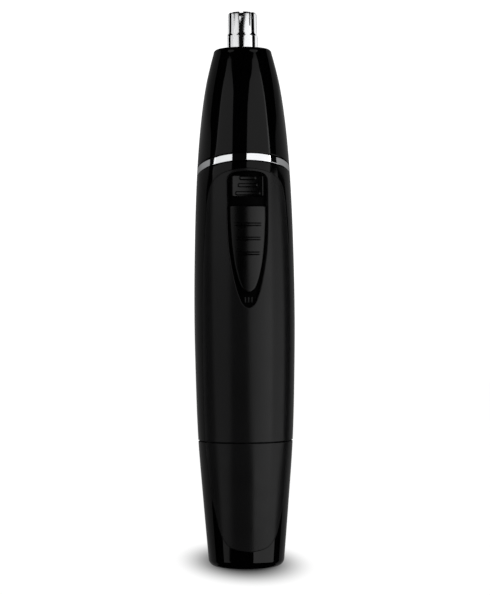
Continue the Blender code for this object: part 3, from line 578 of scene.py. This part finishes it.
def make_slide_knob(material, painted_shade):
    """Crowned shield with three fine ribs between grooves, and the low tongue that carries the thumb grip."""
    half = shield_half()
    outline = loop_of(half)

    def depth_at(x, z):
        crown = SHIELD_CROWN * (x / SHIELD_HALF[0][0]) ** 2
        depth = rounding(distance_to(outline, x, z), SHIELD_EDGE) + crown
        apart, half_groove, deep = GROOVE
        for length, height in GROOVES:
            ends = np.clip((length - np.abs(x)) / 0.25, 0.0, 1.0)
            pair = bump((z - height - apart) / half_groove) + bump((z - height + apart) / half_groove)
            raised = sum(rise * bump((z - height - at) / wide) for at, wide, rise in BEADS)
            depth = depth + (deep * pair - raised) * ends
        return depth

    low, high = half[-1][1], SHIELD_TOP - SHIELD_CORNER
    heights = [low + (SHIELD_TOP - low) * (1 - math.cos(math.pi * k / 40)) / 2 for k in range(1, 6)]
    heights = [low + 0.002, *heights, *spread(heights[-1], high, 400)[1:]]
    heights += [high + SHIELD_CORNER * math.sin(math.pi / 2 * k / 10) for k in range(1, 11)]
    shield = relief_mesh(heights, width_of(half), SLIDE_FACE, depth_at, SHIELD_BACK)
    add_mesh("switch_shield", *shield, "slide", "slide_knob", "grip_black", material)

    half_width, low, high = TONGUE
    tongue_half = rounded_half(half_width, low, high, 0.6)
    tongue_outline = loop_of(tongue_half)
    at, depth = TONGUE_FACE
    tongue = relief_mesh(spread(low, high, 60), width_of(tongue_half), barrel_radius(at) - depth,
                         lambda x, z: rounding(distance_to(tongue_outline, x, z), 0.2), CHANNEL_BACK, 24)
    # The tongue gets painted shade: the dull black stands for the shade low in the channel.
    add_mesh("switch_tongue", *tongue, "slide", "slide_knob", "grip_black", painted_shade)


def make_thumb_grip(material):
    """Block hollowed from side to side for the thumb, with three raised ribs."""
    half = rounded_half(*GRIP, 0.5)
    outline = loop_of(half)
    edge = math.sqrt(GRIP_FACE**2 - GRIP[0] ** 2) - GRIP[0] ** 2 / (2 * SCOOP_RADIUS)
    end, reach, slope, rise = GRIP_RIB

    def depth_at(x, z):
        hollow = SLIDE_FACE - np.hypot(x, edge + x**2 / (2 * SCOOP_RADIUS))
        depth = hollow + rounding(distance_to(outline, x, z), 0.3)
        for length, height in GRIP_RIBS:
            beyond = np.maximum(np.abs(x) - (length - end), 0.0)
            away = np.sqrt(beyond**2 + (z - height) ** 2)
            depth = depth - rise * np.clip((reach - away) / slope, 0.0, 1.0) ** 0.6
        return depth

    pad = relief_mesh(spread(GRIP[1], GRIP[2], 96), width_of(half), SLIDE_FACE, depth_at, GRIP_BACK, 110)
    add_mesh("switch_grip", *pad, "slide", "thumb_grip", "grip_black", material)


def make_slide_track(material, painted_shade):
    """The channel's floor, with three small raised bars below the switch."""
    count = 160
    outer = mirrored_loop(resample(unroll(half_curve(CHANNEL_HALF)), count))
    spine_heights = np.linspace(94.0, 68.0, count + 1)
    spine = mirrored_loop(np.stack([np.zeros(count + 1), spine_heights], axis=1))
    loops = [(outer + (spine - outer) * t, TRACK_DEPTH) for t in spread(0.0, 1.0, 8)]
    floor = loops_mesh([(outer, TRACK_DEPTH + 0.8), *loops])
    # The channel's floor gets painted shade: the dull black stands for the shade in the channel.
    add_mesh("switch_channel", *floor, "handle", "slide_track", "satin_black", painted_shade)

    low, high, half_width, edge = TRACK_BAR
    half = rounded_half(half_width, low, high, edge)
    outline = loop_of(half)
    face = barrel_radius((low + high) / 2) - TRACK_DEPTH + TRACK_BAR_RISE
    vertices, faces = relief_mesh(spread(low, high, 24), width_of(half), face,
                                  lambda x, z: rounding(distance_to(outline, x, z), edge), CHANNEL_BACK, 12)
    bars = [([(x + TRACK_BAR_PITCH * k, y, z) for x, y, z in vertices], faces) for k in (-1, 0, 1)]
    add_mesh("channel_bars", *merge(*bars), "handle", "slide_track", "satin_black", material)


# ---------------------------------------------------------------- cutter

def boolean(obj, operation, *tools):
    """Applies a Boolean for each tool, then removes the tools."""
    for tool in tools:
        modifier = obj.modifiers.new("cut", "BOOLEAN")
        modifier.operation = operation
        modifier.object = tool
        modifier.solver = "EXACT"
    bpy.context.view_layer.update()
    evaluated = obj.evaluated_get(bpy.context.evaluated_depsgraph_get())
    mesh = bpy.data.meshes.new_from_object(evaluated)
    obj.modifiers.clear()
    obj.data = mesh
    for tool in tools:
        bpy.data.objects.remove(tool)
    return obj


def loose(name, vertices, faces):
    """A plain object, not yet a piece."""
    mesh = bpy.data.meshes.new(name)
    mesh.from_pydata([tuple(c * MM for c in v) for v in vertices], [], faces)
    bm = bmesh.new()
    bm.from_mesh(mesh)
    bmesh.ops.remove_doubles(bm, verts=bm.verts, dist=1e-7)
    bmesh.ops.recalc_face_normals(bm, faces=bm.faces)
    bm.to_mesh(mesh)
    bm.free()
    obj = bpy.data.objects.new(name, mesh)
    bpy.context.scene.collection.objects.link(obj)
    return obj


def plate(name, outline, thickness, turn, ground=0.0):
    """An upright plate: its outline is (distance from the axis, height). turn counts from +X.

    ground is how far its outer edge is ground back on its left-hand side, seen from the axis.
    """
    c, s = math.cos(turn), math.sin(turn)
    count = len(outline)
    reach = max(r for r, _ in outline)
    vertices = []
    for y, back in ((-thickness / 2, 0.0), (thickness / 2, ground)):
        shape = [(min(r, reach - back), z) for r, z in outline]
        vertices += [(r * c - y * s, r * s + y * c, z) for r, z in shape]
    faces = [tuple(range(count)), tuple(reversed(range(count, 2 * count)))]
    faces += [(k, (k + 1) % count, count + (k + 1) % count, count + k) for k in range(count)]
    return loose(name, vertices, faces)


def make_outer_cutter(material, painted_shade):
    """Steel cap with slots, a tapered step and a pointed notch across each wide slot.

    Its inner faces get painted shade: a dull black in place of the steel.
    """
    top, under = CUTTER_TOP, CUTTER_TOP - 0.45
    wide, narrow = CUTTER_RADII
    flange, low, high = CUTTER_FLANGE
    bore, upper_bore = CUTTER_BORE
    profile = [
        (0.0, top - 0.04), (1.5, top - 0.04), (2.2, top), (3.16, top), (3.22, top - 0.03), (3.5, top - 0.36),
        (narrow - 0.08, top - 0.5), (narrow, CUTTER_STEP + 0.75), (wide, CUTTER_STEP - 0.55), (wide, high),
        (flange, high), (flange, low), (bore[0], low), bore, upper_bore, (upper_bore[0], under), (0.0, under),
    ]
    cap = loose("steel_cap", *turned(lambda angle: [*profile, profile[0]], SLOTS * 24))
    tools = []
    beyond, above = 6.0, top + 2.0
    for name, (width, inner, foot), turn, places in SLOT_KINDS:
        for k in places:
            angle = FIRST_SLOT + turn + math.tau * k / SLOTS
            outline = [(inner, foot), (beyond, foot), (beyond, above), (inner, above)]
            tools.append(plate(name, outline, width, angle))
    half_width, foot, tip = NOTCH
    wedge = ((-half_width, foot), (half_width, foot), (0.0, tip))
    for k in range(SLOTS):
        angle = FIRST_SLOT + math.tau * k / SLOTS
        c, s = math.cos(angle), math.sin(angle)
        points = [(x * c - y * s, x * s + y * c, CUTTER_STEP + z) for x in NOTCH_REACH for y, z in wedge]
        tools.append(loose("notch", points, [(0, 1, 2), (5, 4, 3), (0, 3, 4, 1), (1, 4, 5, 2), (2, 5, 3, 0)]))
    boolean(cap, "DIFFERENCE", *tools)
    dress(cap, "head", "outer_cutter", material, sharp=30.0, weighted=False)
    cap.data.materials.append(painted_shade)
    # Faces turned inward and downward take the painted shade, the rest the steel.
    for face in cap.data.polygons:
        outward = face.normal.xy.dot(face.center.xy.normalized())
        face.material_index = 0 if max(outward, face.normal.z) > 0.3 else 1
    return cap


def make_inner_cutter(material):
    """Three blades on a stem, with their outer edges ground to one side."""
    radius, low = BLADE_STEM
    thickness, foot, top = BLADE
    high = top - 0.7
    stem = [
        (0.0, low), (radius - 0.1, low), (radius, low + 0.1),
        (radius, high - 0.1), (radius - 0.1, high), (0.0, high),
    ]
    blades = loose("blade_set", *turned(lambda angle: [*stem, stem[0]], 48))
    outline = [
        (0.0, foot), (2.3, foot), (BLADE_REACH, foot + 1.1), (BLADE_REACH, top - 0.3),
        (BLADE_REACH - 0.3, top), (0.7, top), (0.0, top - 1.3),
    ]
    tools = [plate("blade", outline, thickness, FIRST_BLADE + math.tau * k / BLADES, BLADE_GROUND)
             for k in range(BLADES)]
    boolean(blades, "UNION", *tools)
    dress(blades, "cutter_rotor", "inner_cutter", material, sharp=30.0, weighted=False)
    return blades


# ---------------------------------------------------------------- cell

def make_battery_cell(jacket, steel):
    """Steel can with a dished foot and a raised terminal, in a shrunk sleeve that turns in over both ends."""
    radius, foot, shoulder, tip = CELL
    wall, button = radius - 0.15, 2.6
    can = [
        (0.0, foot + 0.25), (4.1, foot + 0.25), (4.4, foot), (wall - 0.6, foot), (wall - 0.25, foot + 0.1),
        (wall, foot + 0.6), (wall, shoulder - 0.8), (wall - 0.3, shoulder - 0.35),
        (wall - 0.9, shoulder - 0.2), (wall - 1.6, shoulder - 0.6), (button + 0.35, shoulder - 0.6),
        (button + 0.05, shoulder - 0.4), (button, tip - 0.25), (button - 0.25, tip), (0.0, tip),
    ]
    sleeve = [
        (wall - 0.55, foot + 0.02), (wall - 0.1, foot + 0.12), (radius - 0.02, foot + 0.5),
        (radius, foot + 0.9), (radius, shoulder - 0.8), (radius - 0.15, shoulder - 0.25),
        (radius - 0.6, shoulder), (wall - 1.3, shoulder - 0.05), (wall - 1.4, shoulder - 0.2),
        (wall - 0.8, shoulder - 0.15), (wall - 0.25, shoulder - 0.35), (wall + 0.03, shoulder - 0.8),
        (wall + 0.03, foot + 0.6), (wall - 0.2, foot + 0.2), (wall - 0.55, foot + 0.08),
    ]
    can_mesh = turned(lambda angle: [*can, can[0]], 96)
    add_mesh("cell_can", *can_mesh, "cap", "battery_cell", "zinc_steel", steel)
    sleeve_mesh = turned(lambda angle: [*sleeve, sleeve[0]], 96)
    add_mesh("cell_sleeve", *sleeve_mesh, "cap", "battery_cell", "cell_jacket", jacket)


# ---------------------------------------------------------------- materials

def nodes_of(name):
    material = bpy.data.materials.new(name)
    material.use_nodes = True
    return material, material.node_tree, material.node_tree.nodes["Principled BSDF"]


def noise(tree, scale, detail=3.0, stretch=(1.0, 1.0, 1.0)):
    """Noise over the piece's own coordinates, in features per metre."""
    coordinates = tree.nodes.new("ShaderNodeTexCoord")
    mapping = tree.nodes.new("ShaderNodeMapping")
    mapping.inputs["Scale"].default_value = stretch
    texture = tree.nodes.new("ShaderNodeTexNoise")
    texture.inputs["Scale"].default_value = scale
    texture.inputs["Detail"].default_value = detail
    tree.links.new(coordinates.outputs["Object"], mapping.inputs["Vector"])
    tree.links.new(mapping.outputs["Vector"], texture.inputs["Vector"])
    return texture.outputs["Fac"]


def between(tree, value, low, high, start=0.3, end=0.7):
    """The value mapped from start..end to low..high."""
    spread_node = tree.nodes.new("ShaderNodeMapRange")
    for key, number in (("From Min", start), ("From Max", end), ("To Min", low), ("To Max", high)):
        spread_node.inputs[key].default_value = number
    tree.links.new(value, spread_node.inputs["Value"])
    return spread_node.outputs["Result"]


def mixed(tree, factor, first, second):
    mix = tree.nodes.new("ShaderNodeMix")
    mix.data_type = "RGBA"
    mix.inputs["A"].default_value = (*first, 1.0)
    mix.inputs["B"].default_value = (*second, 1.0)
    tree.links.new(factor, mix.inputs["Factor"])
    return mix.outputs["Result"]


def bumped(tree, shader, layers):
    """Bump from several (height value, depth in mm) layers, one after another."""
    normal = None
    for value, depth in layers:
        node = tree.nodes.new("ShaderNodeBump")
        node.inputs["Strength"].default_value = 1.0
        node.inputs["Distance"].default_value = depth * MM
        tree.links.new(value, node.inputs["Height"])
        if normal:
            tree.links.new(normal, node.inputs["Normal"])
        normal = node.outputs["Normal"]
    tree.links.new(normal, shader.inputs["Normal"])


def drifting_colour(tree, shader, scale, dark, light):
    """Base colour that drifts between two colours."""
    drift = between(tree, noise(tree, scale), 0.0, 1.0)
    tree.links.new(mixed(tree, drift, dark, light), shader.inputs["Base Color"])


def plastic(name, dark, light, roughness, specular, grain, scale, waviness=None):
    """Moulded plastic: a slight drift of colour, patches of gloss, fine grain and moulding waviness."""
    material, tree, shader = nodes_of(name)
    drifting_colour(tree, shader, 60.0, dark, light)
    tree.links.new(between(tree, noise(tree, 220.0, 5.0), *roughness), shader.inputs["Roughness"])
    shader.inputs["Specular IOR Level"].default_value = specular
    layers = [(noise(tree, scale, 2.0), grain)]
    if waviness:
        depth, wave_scale = waviness
        layers.append((noise(tree, wave_scale, 1.0), depth))
    bumped(tree, shader, layers)
    return material


def metal(name, dark, light, roughness, grain, scale, stretch=(1.0, 1.0, 1.0)):
    """Metal: slight tarnish, patches of polish and fine tool marks along one way."""
    material, tree, shader = nodes_of(name)
    drifting_colour(tree, shader, 150.0, dark, light)
    shader.inputs["Metallic"].default_value = 1.0
    tree.links.new(between(tree, noise(tree, 400.0, 5.0), *roughness), shader.inputs["Roughness"])
    bumped(tree, shader, [(noise(tree, scale, 3.0, stretch), grain)])
    return material


def banded(material, colour, height):
    """The material with another colour above a height in millimetres."""
    tree = material.node_tree
    base = tree.nodes["Principled BSDF"].inputs["Base Color"]
    coordinates = tree.nodes.new("ShaderNodeTexCoord")
    split = tree.nodes.new("ShaderNodeSeparateXYZ")
    above = tree.nodes.new("ShaderNodeMath")
    above.operation = "GREATER_THAN"
    above.inputs[1].default_value = height * MM
    mix = tree.nodes.new("ShaderNodeMix")
    mix.data_type = "RGBA"
    mix.inputs["B"].default_value = (*colour, 1.0)
    tree.links.new(coordinates.outputs["Object"], split.inputs["Vector"])
    tree.links.new(split.outputs["Z"], above.inputs[0])
    tree.links.new(above.outputs["Value"], mix.inputs["Factor"])
    tree.links.new(base.links[0].from_socket, mix.inputs["A"])
    tree.links.new(mix.outputs["Result"], base)


# Each plastic's darkest and lightest colour, roughness from and to, specular level, and its grain's depth in
# millimetres and scale. The last pair is the depth and scale of its waviness.
PLASTICS = {
    "gloss_black": ((0.0002, 0.0002, 0.00025), (0.0004, 0.0004, 0.00045), (0.05, 0.08), 0.17, 0.0003, 5000.0,
                    (0.0012, 160.0)),
    "satin_black": ((0.0038, 0.0038, 0.0039), (0.0048, 0.0048, 0.005), (0.2, 0.25), 0.17, 0.004, 3500.0),
    "grip_black": ((0.0002, 0.0002, 0.00025), (0.0005, 0.0005, 0.00055), (0.24, 0.3), 0.27, 0.002, 3000.0),
    # The next black is painted shade: a dull, nearly unreflecting black laid on inner faces and low floors
    # where shade falls.
    "painted_shade_black": ((0.0002, 0.0002, 0.0002), (0.0004, 0.0004, 0.0004), (0.5, 0.6), 0.03, 0.004, 3000.0),
    "nylon_black": ((0.003, 0.003, 0.0032), (0.006, 0.006, 0.0063), (0.42, 0.55), 0.25, 0.006, 2500.0),
    "nylon_white": ((0.7, 0.69, 0.64), (0.8, 0.79, 0.75), (0.38, 0.5), 0.4, 0.004, 2500.0),
    "rubber": ((0.01, 0.01, 0.01), (0.018, 0.018, 0.018), (0.6, 0.75), 0.3, 0.01, 3000.0),
    "cell_jacket": ((0.05, 0.09, 0.14), (0.07, 0.12, 0.18), (0.25, 0.35), 0.5, 0.003, 5000.0),
    "wire_red": ((0.4, 0.015, 0.012), (0.5, 0.03, 0.02), (0.4, 0.5), 0.4, 0.003, 5000.0),
    "wire_black": ((0.012, 0.012, 0.012), (0.02, 0.02, 0.02), (0.4, 0.5), 0.4, 0.003, 5000.0),
    "ferrite": ((0.03, 0.03, 0.033), (0.06, 0.06, 0.065), (0.5, 0.7), 0.4, 0.02, 4000.0),
}
# Each metal's darkest and lightest colour, roughness from and to, and its tool marks' depth in millimetres
# and scale. The last three numbers crowd the marks along X, Y and Z.
METALS = {
    "chrome": ((0.82, 0.83, 0.85), (0.88, 0.89, 0.9), (0.03, 0.055), 0.0003, 1500.0),
    "cutter_steel": ((0.84, 0.85, 0.86), (0.9, 0.91, 0.92), (0.16, 0.24), 0.0015, 900.0, (1.0, 1.0, 8.0)),
    "blade_steel": ((0.8, 0.81, 0.82), (0.88, 0.89, 0.9), (0.3, 0.4), 0.002, 1500.0, (1.0, 1.0, 8.0)),
    "spring_steel": ((0.5, 0.5, 0.52), (0.62, 0.62, 0.64), (0.2, 0.35), 0.002, 2500.0),
    "zinc_steel": ((0.5, 0.52, 0.55), (0.66, 0.67, 0.69), (0.28, 0.45), 0.003, 900.0),
    "contact_brass": ((0.62, 0.44, 0.18), (0.78, 0.6, 0.3), (0.22, 0.38), 0.002, 1800.0, (6.0, 6.0, 1.0)),
    "winding_copper": ((0.55, 0.25, 0.12), (0.75, 0.38, 0.2), (0.25, 0.45), 0.02, 2500.0, (1.0, 1.0, 4.0)),
}
CELL_LABEL = (0.5, 0.51, 0.53)


def make_materials():
    made = {name: plastic(name, *values) for name, values in PLASTICS.items()}
    made.update({name: metal(name, *values) for name, values in METALS.items()})
    banded(made["cell_jacket"], CELL_LABEL, CELL_BAND)
    return made


# ---------------------------------------------------------------- stage, light and camera

CAMERA_TURN = math.radians(-5.0)
CAMERA_DISTANCE = 488.0
CAMERA_ASIDE = 0.14  # to its right
EYE_HEIGHT = 66.87
CAMERA_ROLL = math.radians(0.45)
LENS = 118.5
SENSOR = 36.0
SKY = 1.15  # soft light from all round, which reflections do not show
# The contact shadow set by the next three numbers is painted in the floor's glow.
SHADOW = (0.005, 0.018)  # distances across, in metres, over which the contact shadow fades out
SHADOW_LENGTH = 2.6  # how many times longer it is from front to back
SHADOW_CENTRE = 0.008
FLOOR_HALF = 6.0


def direction(turn):
    """Level unit vector at an angle round the object from the front."""
    return Vector((math.sin(turn), -math.cos(turn), 0.0))


def make_camera():
    data = bpy.data.cameras.new("camera")
    data.sensor_fit = "VERTICAL"
    data.sensor_height = SENSOR
    data.lens = LENS
    data.clip_start, data.clip_end = 0.01, 50.0
    obj = bpy.data.objects.new("camera", data)
    bpy.context.scene.collection.objects.link(obj)
    back = direction(CAMERA_TURN)
    right = Vector((0, 0, 1)).cross(back).normalized()
    up = Vector((0, 0, 1)) * math.cos(CAMERA_ROLL) + right * math.sin(CAMERA_ROLL)
    side = up.cross(back).normalized()
    turn = Matrix((side, up, back)).transposed().to_4x4()
    at = (back * CAMERA_DISTANCE + right * CAMERA_ASIDE + Vector((0, 0, EYE_HEIGHT))) * MM
    obj.matrix_world = Matrix.Translation(at) @ turn
    bpy.context.scene.camera = obj


# Light sheets round the object. Each row is (height angle, near edge, far edge, glow at the near edge, glow
# at the far edge). The angles are in degrees about LIGHT_CENTRE, and the edges count from the camera's side.
LIGHT_RADIUS = 1.0
LIGHT_CENTRE = Vector((0.0, 0.0, 0.068))
LEFT_SHEET = (
    (-20, -55, -72, 0.95, 0.95), (-17, -42, -73, 0.85, 0.85), (-12, -34, -76, 0.45, 0.45),
    (4, -32, -79, 0.45, 0.45), (9, -31, -83, 0.85, 0.85), (14, -28, -73, 0.95, 0.95),
    (26, -29, -66, 0.95, 0.95), (34, -38, -62, 0.8, 0.8), (37, -50, -56, 0.5, 0.5),
)
RIGHT_SHEET = (
    (-22, 22, 66, 1.9, 1.7), (-15, 20, 66, 1.9, 1.8), (-11, 12, 66, 0.9, 2.2), (4, 8, 66, 0.9, 2.2),
    (9, 8, 66, 0.9, 1.6), (13, 8, 72, 1.1, 1.1), (22, 13, 68, 1.1, 1.1), (30, 23, 66, 1.1, 1.1),
    (36, 36, 60, 1.0, 1.0), (39, 50, 55, 0.6, 0.6),
)
RIGHT_WING = (
    (-22, 66, 88, 1.7, 1.4), (-15, 66, 92, 1.8, 1.4), (-11, 66, 105, 1.25, 0.95), (4, 66, 101, 1.25, 0.95),
    (10, 66, 92, 1.1, 0.9),
)
LEFT_RIM = ((10, -80, -83, 1.3, 1.3), (14, -70, -73, 1.3, 1.3), (26, -63, -66, 1.1, 1.1))
RIGHT_RIM = ((12, 69, 73, 3.4, 3.4), (22, 66, 69, 2.4, 2.4), (32, 61, 64, 1.6, 1.6))
FILL_RADIANCE = 0.75
FILL_TURN = 118.0
FILL_SIZE = (1.9, 1.2)  # metres wide and high
FILL_DISTANCE = 0.8  # metres
RIM_NEARER = 0.01  # metres in front of the sheets
BACKDROP_NEARER = -0.02
LEFT_BACKDROP = (
    (-40, -108, -170, 0.18, 0.18), (-15, -106, -170, 0.18, 0.18), (0, -102, -170, 0.18, 0.18),
    (8, -102, -170, 0.18, 0.18), (10, -93, -170, 0.29, 0.29), (13.5, -93, -170, 0.29, 0.29),
    (15.5, -102, -170, 0.18, 0.18), (34, -102, -170, 0.18, 0.18),
)
RIGHT_BACKDROP = (
    (-40, 118, 170, 0.19, 0.19), (-15, 118, 170, 0.19, 0.19), (-7, 130, 170, 0.19, 0.19),
    (4, 131, 170, 0.19, 0.19), (8.5, 118, 170, 0.24, 0.24), (10, 92, 170, 0.29, 0.29),
    (13.5, 92, 170, 0.29, 0.29), (15.5, 106, 170, 0.19, 0.19), (28, 118, 170, 0.19, 0.19),
    (34, 118, 170, 0.19, 0.19),
)


def light_sheet(name, keys, nearer=0.0):
    """A glowing sheet between two edges that follow its rows."""
    keys = np.array(keys, float)
    heights = np.linspace(keys[0, 0], keys[-1, 0], 49)
    edges = np.stack([np.interp(heights, keys[:, 0], keys[:, k]) for k in range(1, 5)], axis=1)
    across = spread(0.0, 1.0, 24)
    rows, glows = [], []
    for e, (near, far, near_glow, far_glow) in zip(heights, edges):
        up = math.radians(e)
        row = []
        for t in across:
            turn = direction(CAMERA_TURN + math.radians(near + (far - near) * t))
            outward = turn * math.cos(up) + Vector((0, 0, math.sin(up)))
            point = LIGHT_CENTRE + outward * (LIGHT_RADIUS - nearer)
            row.append(point / MM)
            glows.append(near_glow + (far_glow - near_glow) * t)
        rows.append(row)
    obj = loose(name, *strip_faces(rows, False))
    obj.data.attributes.new("glow", "FLOAT", "POINT").data.foreach_set("value", glows)
    material = bpy.data.materials.new(name)
    material.use_nodes = True
    tree = material.node_tree
    tree.nodes.clear()
    output = tree.nodes.new("ShaderNodeOutputMaterial")
    emission = tree.nodes.new("ShaderNodeEmission")
    glow = tree.nodes.new("ShaderNodeAttribute")
    glow.attribute_name = "glow"
    tree.links.new(glow.outputs["Fac"], emission.inputs["Strength"])
    tree.links.new(emission.outputs["Emission"], output.inputs["Surface"])
    obj.data.materials.append(material)
    obj.visible_camera = False


def make_steel_fill(pieces):
    """A soft light on each side, behind, that only the steel cutter catches."""
    lit = bpy.data.collections.new("steel_only")
    for piece in pieces:
        lit.objects.link(piece)
    for name, angle in (("fill_left", -FILL_TURN), ("fill_right", FILL_TURN)):
        data = bpy.data.lights.new(name, "AREA")
        data.shape = "RECTANGLE"
        data.size, data.size_y = FILL_SIZE
        data.energy = FILL_RADIANCE * math.pi * data.size * data.size_y
        obj = bpy.data.objects.new(name, data)
        bpy.context.scene.collection.objects.link(obj)
        away = direction(CAMERA_TURN + math.radians(angle))
        obj.location = LIGHT_CENTRE + away * FILL_DISTANCE
        obj.rotation_euler = away.to_track_quat("Z", "Y").to_euler()
        obj.visible_camera = False
        obj.light_linking.receiver_collection = lit


def make_lights(steel):
    light_sheet("light_left", LEFT_SHEET)
    light_sheet("light_right", RIGHT_SHEET)
    light_sheet("light_right_wing", RIGHT_WING)
    light_sheet("rim_left", LEFT_RIM, RIM_NEARER)
    light_sheet("rim_right", RIGHT_RIM, RIM_NEARER)
    light_sheet("backdrop_left", LEFT_BACKDROP, BACKDROP_NEARER)
    light_sheet("backdrop_right", RIGHT_BACKDROP, BACKDROP_NEARER)
    make_steel_fill(steel)


def make_stage():
    """A white floor, darker in a painted soft contact shadow that is longer from front to back."""
    material, tree, shader = nodes_of("floor_white")
    drifting_colour(tree, shader, 8.0, (0.06, 0.06, 0.06), (0.07, 0.07, 0.07))
    shader.inputs["Roughness"].default_value = 0.9
    shader.inputs["Specular IOR Level"].default_value = 0.0
    coordinates = tree.nodes.new("ShaderNodeTexCoord")
    placed = tree.nodes.new("ShaderNodeVectorMath")
    placed.operation = "MULTIPLY_ADD"
    placed.inputs[1].default_value = (1.0, 1.0 / SHADOW_LENGTH, 1.0)
    placed.inputs[2].default_value = (0.0, -SHADOW_CENTRE / SHADOW_LENGTH, 0.0)
    tree.links.new(coordinates.outputs["Object"], placed.inputs[0])
    distance = tree.nodes.new("ShaderNodeVectorMath")
    distance.operation = "LENGTH"
    tree.links.new(placed.outputs["Vector"], distance.inputs[0])
    # This glow paints the contact shadow: dim near the foot, white further out.
    glow = tree.nodes.new("ShaderNodeMapRange")
    glow.interpolation_type = "SMOOTHSTEP"
    glow.inputs["From Min"].default_value, glow.inputs["From Max"].default_value = SHADOW
    glow.inputs["To Min"].default_value, glow.inputs["To Max"].default_value = 0.02, 0.96
    tree.links.new(distance.outputs["Value"], glow.inputs["Value"])
    shader.inputs["Emission Color"].default_value = (1, 1, 1, 1)
    tree.links.new(glow.outputs["Result"], shader.inputs["Emission Strength"])
    mesh = bpy.data.meshes.new("floor")
    corners = [(x * FLOOR_HALF, y * FLOOR_HALF, 0) for x, y in ((-1, -1), (1, -1), (1, 1), (-1, 1))]
    mesh.from_pydata(corners, [], [(0, 1, 2, 3)])
    mesh.materials.append(material)
    floor = bpy.data.objects.new("floor", mesh)
    bpy.context.scene.collection.objects.link(floor)
    floor.visible_glossy = False
    floor.visible_diffuse = False


def make_world():
    """White to the camera and to diffuse light, and nearly black in reflections."""
    world = bpy.data.worlds.new("studio")
    world.use_nodes = True
    tree = world.node_tree
    background = tree.nodes["Background"]
    path = tree.nodes.new("ShaderNodeLightPath")
    seen = tree.nodes.new("ShaderNodeMath")
    seen.operation = "MAXIMUM"
    tree.links.new(path.outputs["Is Camera Ray"], seen.inputs[0])
    tree.links.new(path.outputs["Is Diffuse Ray"], seen.inputs[1])
    tree.links.new(between(tree, seen.outputs["Value"], 0.002, SKY, 0.0, 1.0), background.inputs["Strength"])
    background.inputs["Color"].default_value = (1, 1, 1, 1)
    bpy.context.scene.world = world
    bpy.context.scene.view_settings.view_transform = "Standard"


def main():
    make_camera()
    make_stage()
    make_world()
    materials = make_materials()
    slots = {part["node"]: part["material_slot"] for part in frame["record"]["subparts"]}
    for node, obj in frame["nodes"].items():
        obj.data.materials.clear()
        obj.data.materials.append(materials[slots[node]])
    make_battery_cap(materials["gloss_black"])
    make_cap_panel(materials["satin_black"])
    make_body_shell(materials["gloss_black"])
    make_front_panel(materials["satin_black"])
    make_slide_track(materials["satin_black"], materials["painted_shade_black"])
    make_trim_ring(materials["chrome"])
    make_slide_knob(materials["grip_black"], materials["painted_shade_black"])
    make_thumb_grip(materials["grip_black"])
    make_head_shell(materials["gloss_black"])
    make_battery_cell(materials["cell_jacket"], materials["zinc_steel"])
    blades = make_inner_cutter(materials["blade_steel"])
    cap = make_outer_cutter(materials["cutter_steel"], materials["painted_shade_black"])
    make_lights((cap, blades))


main()
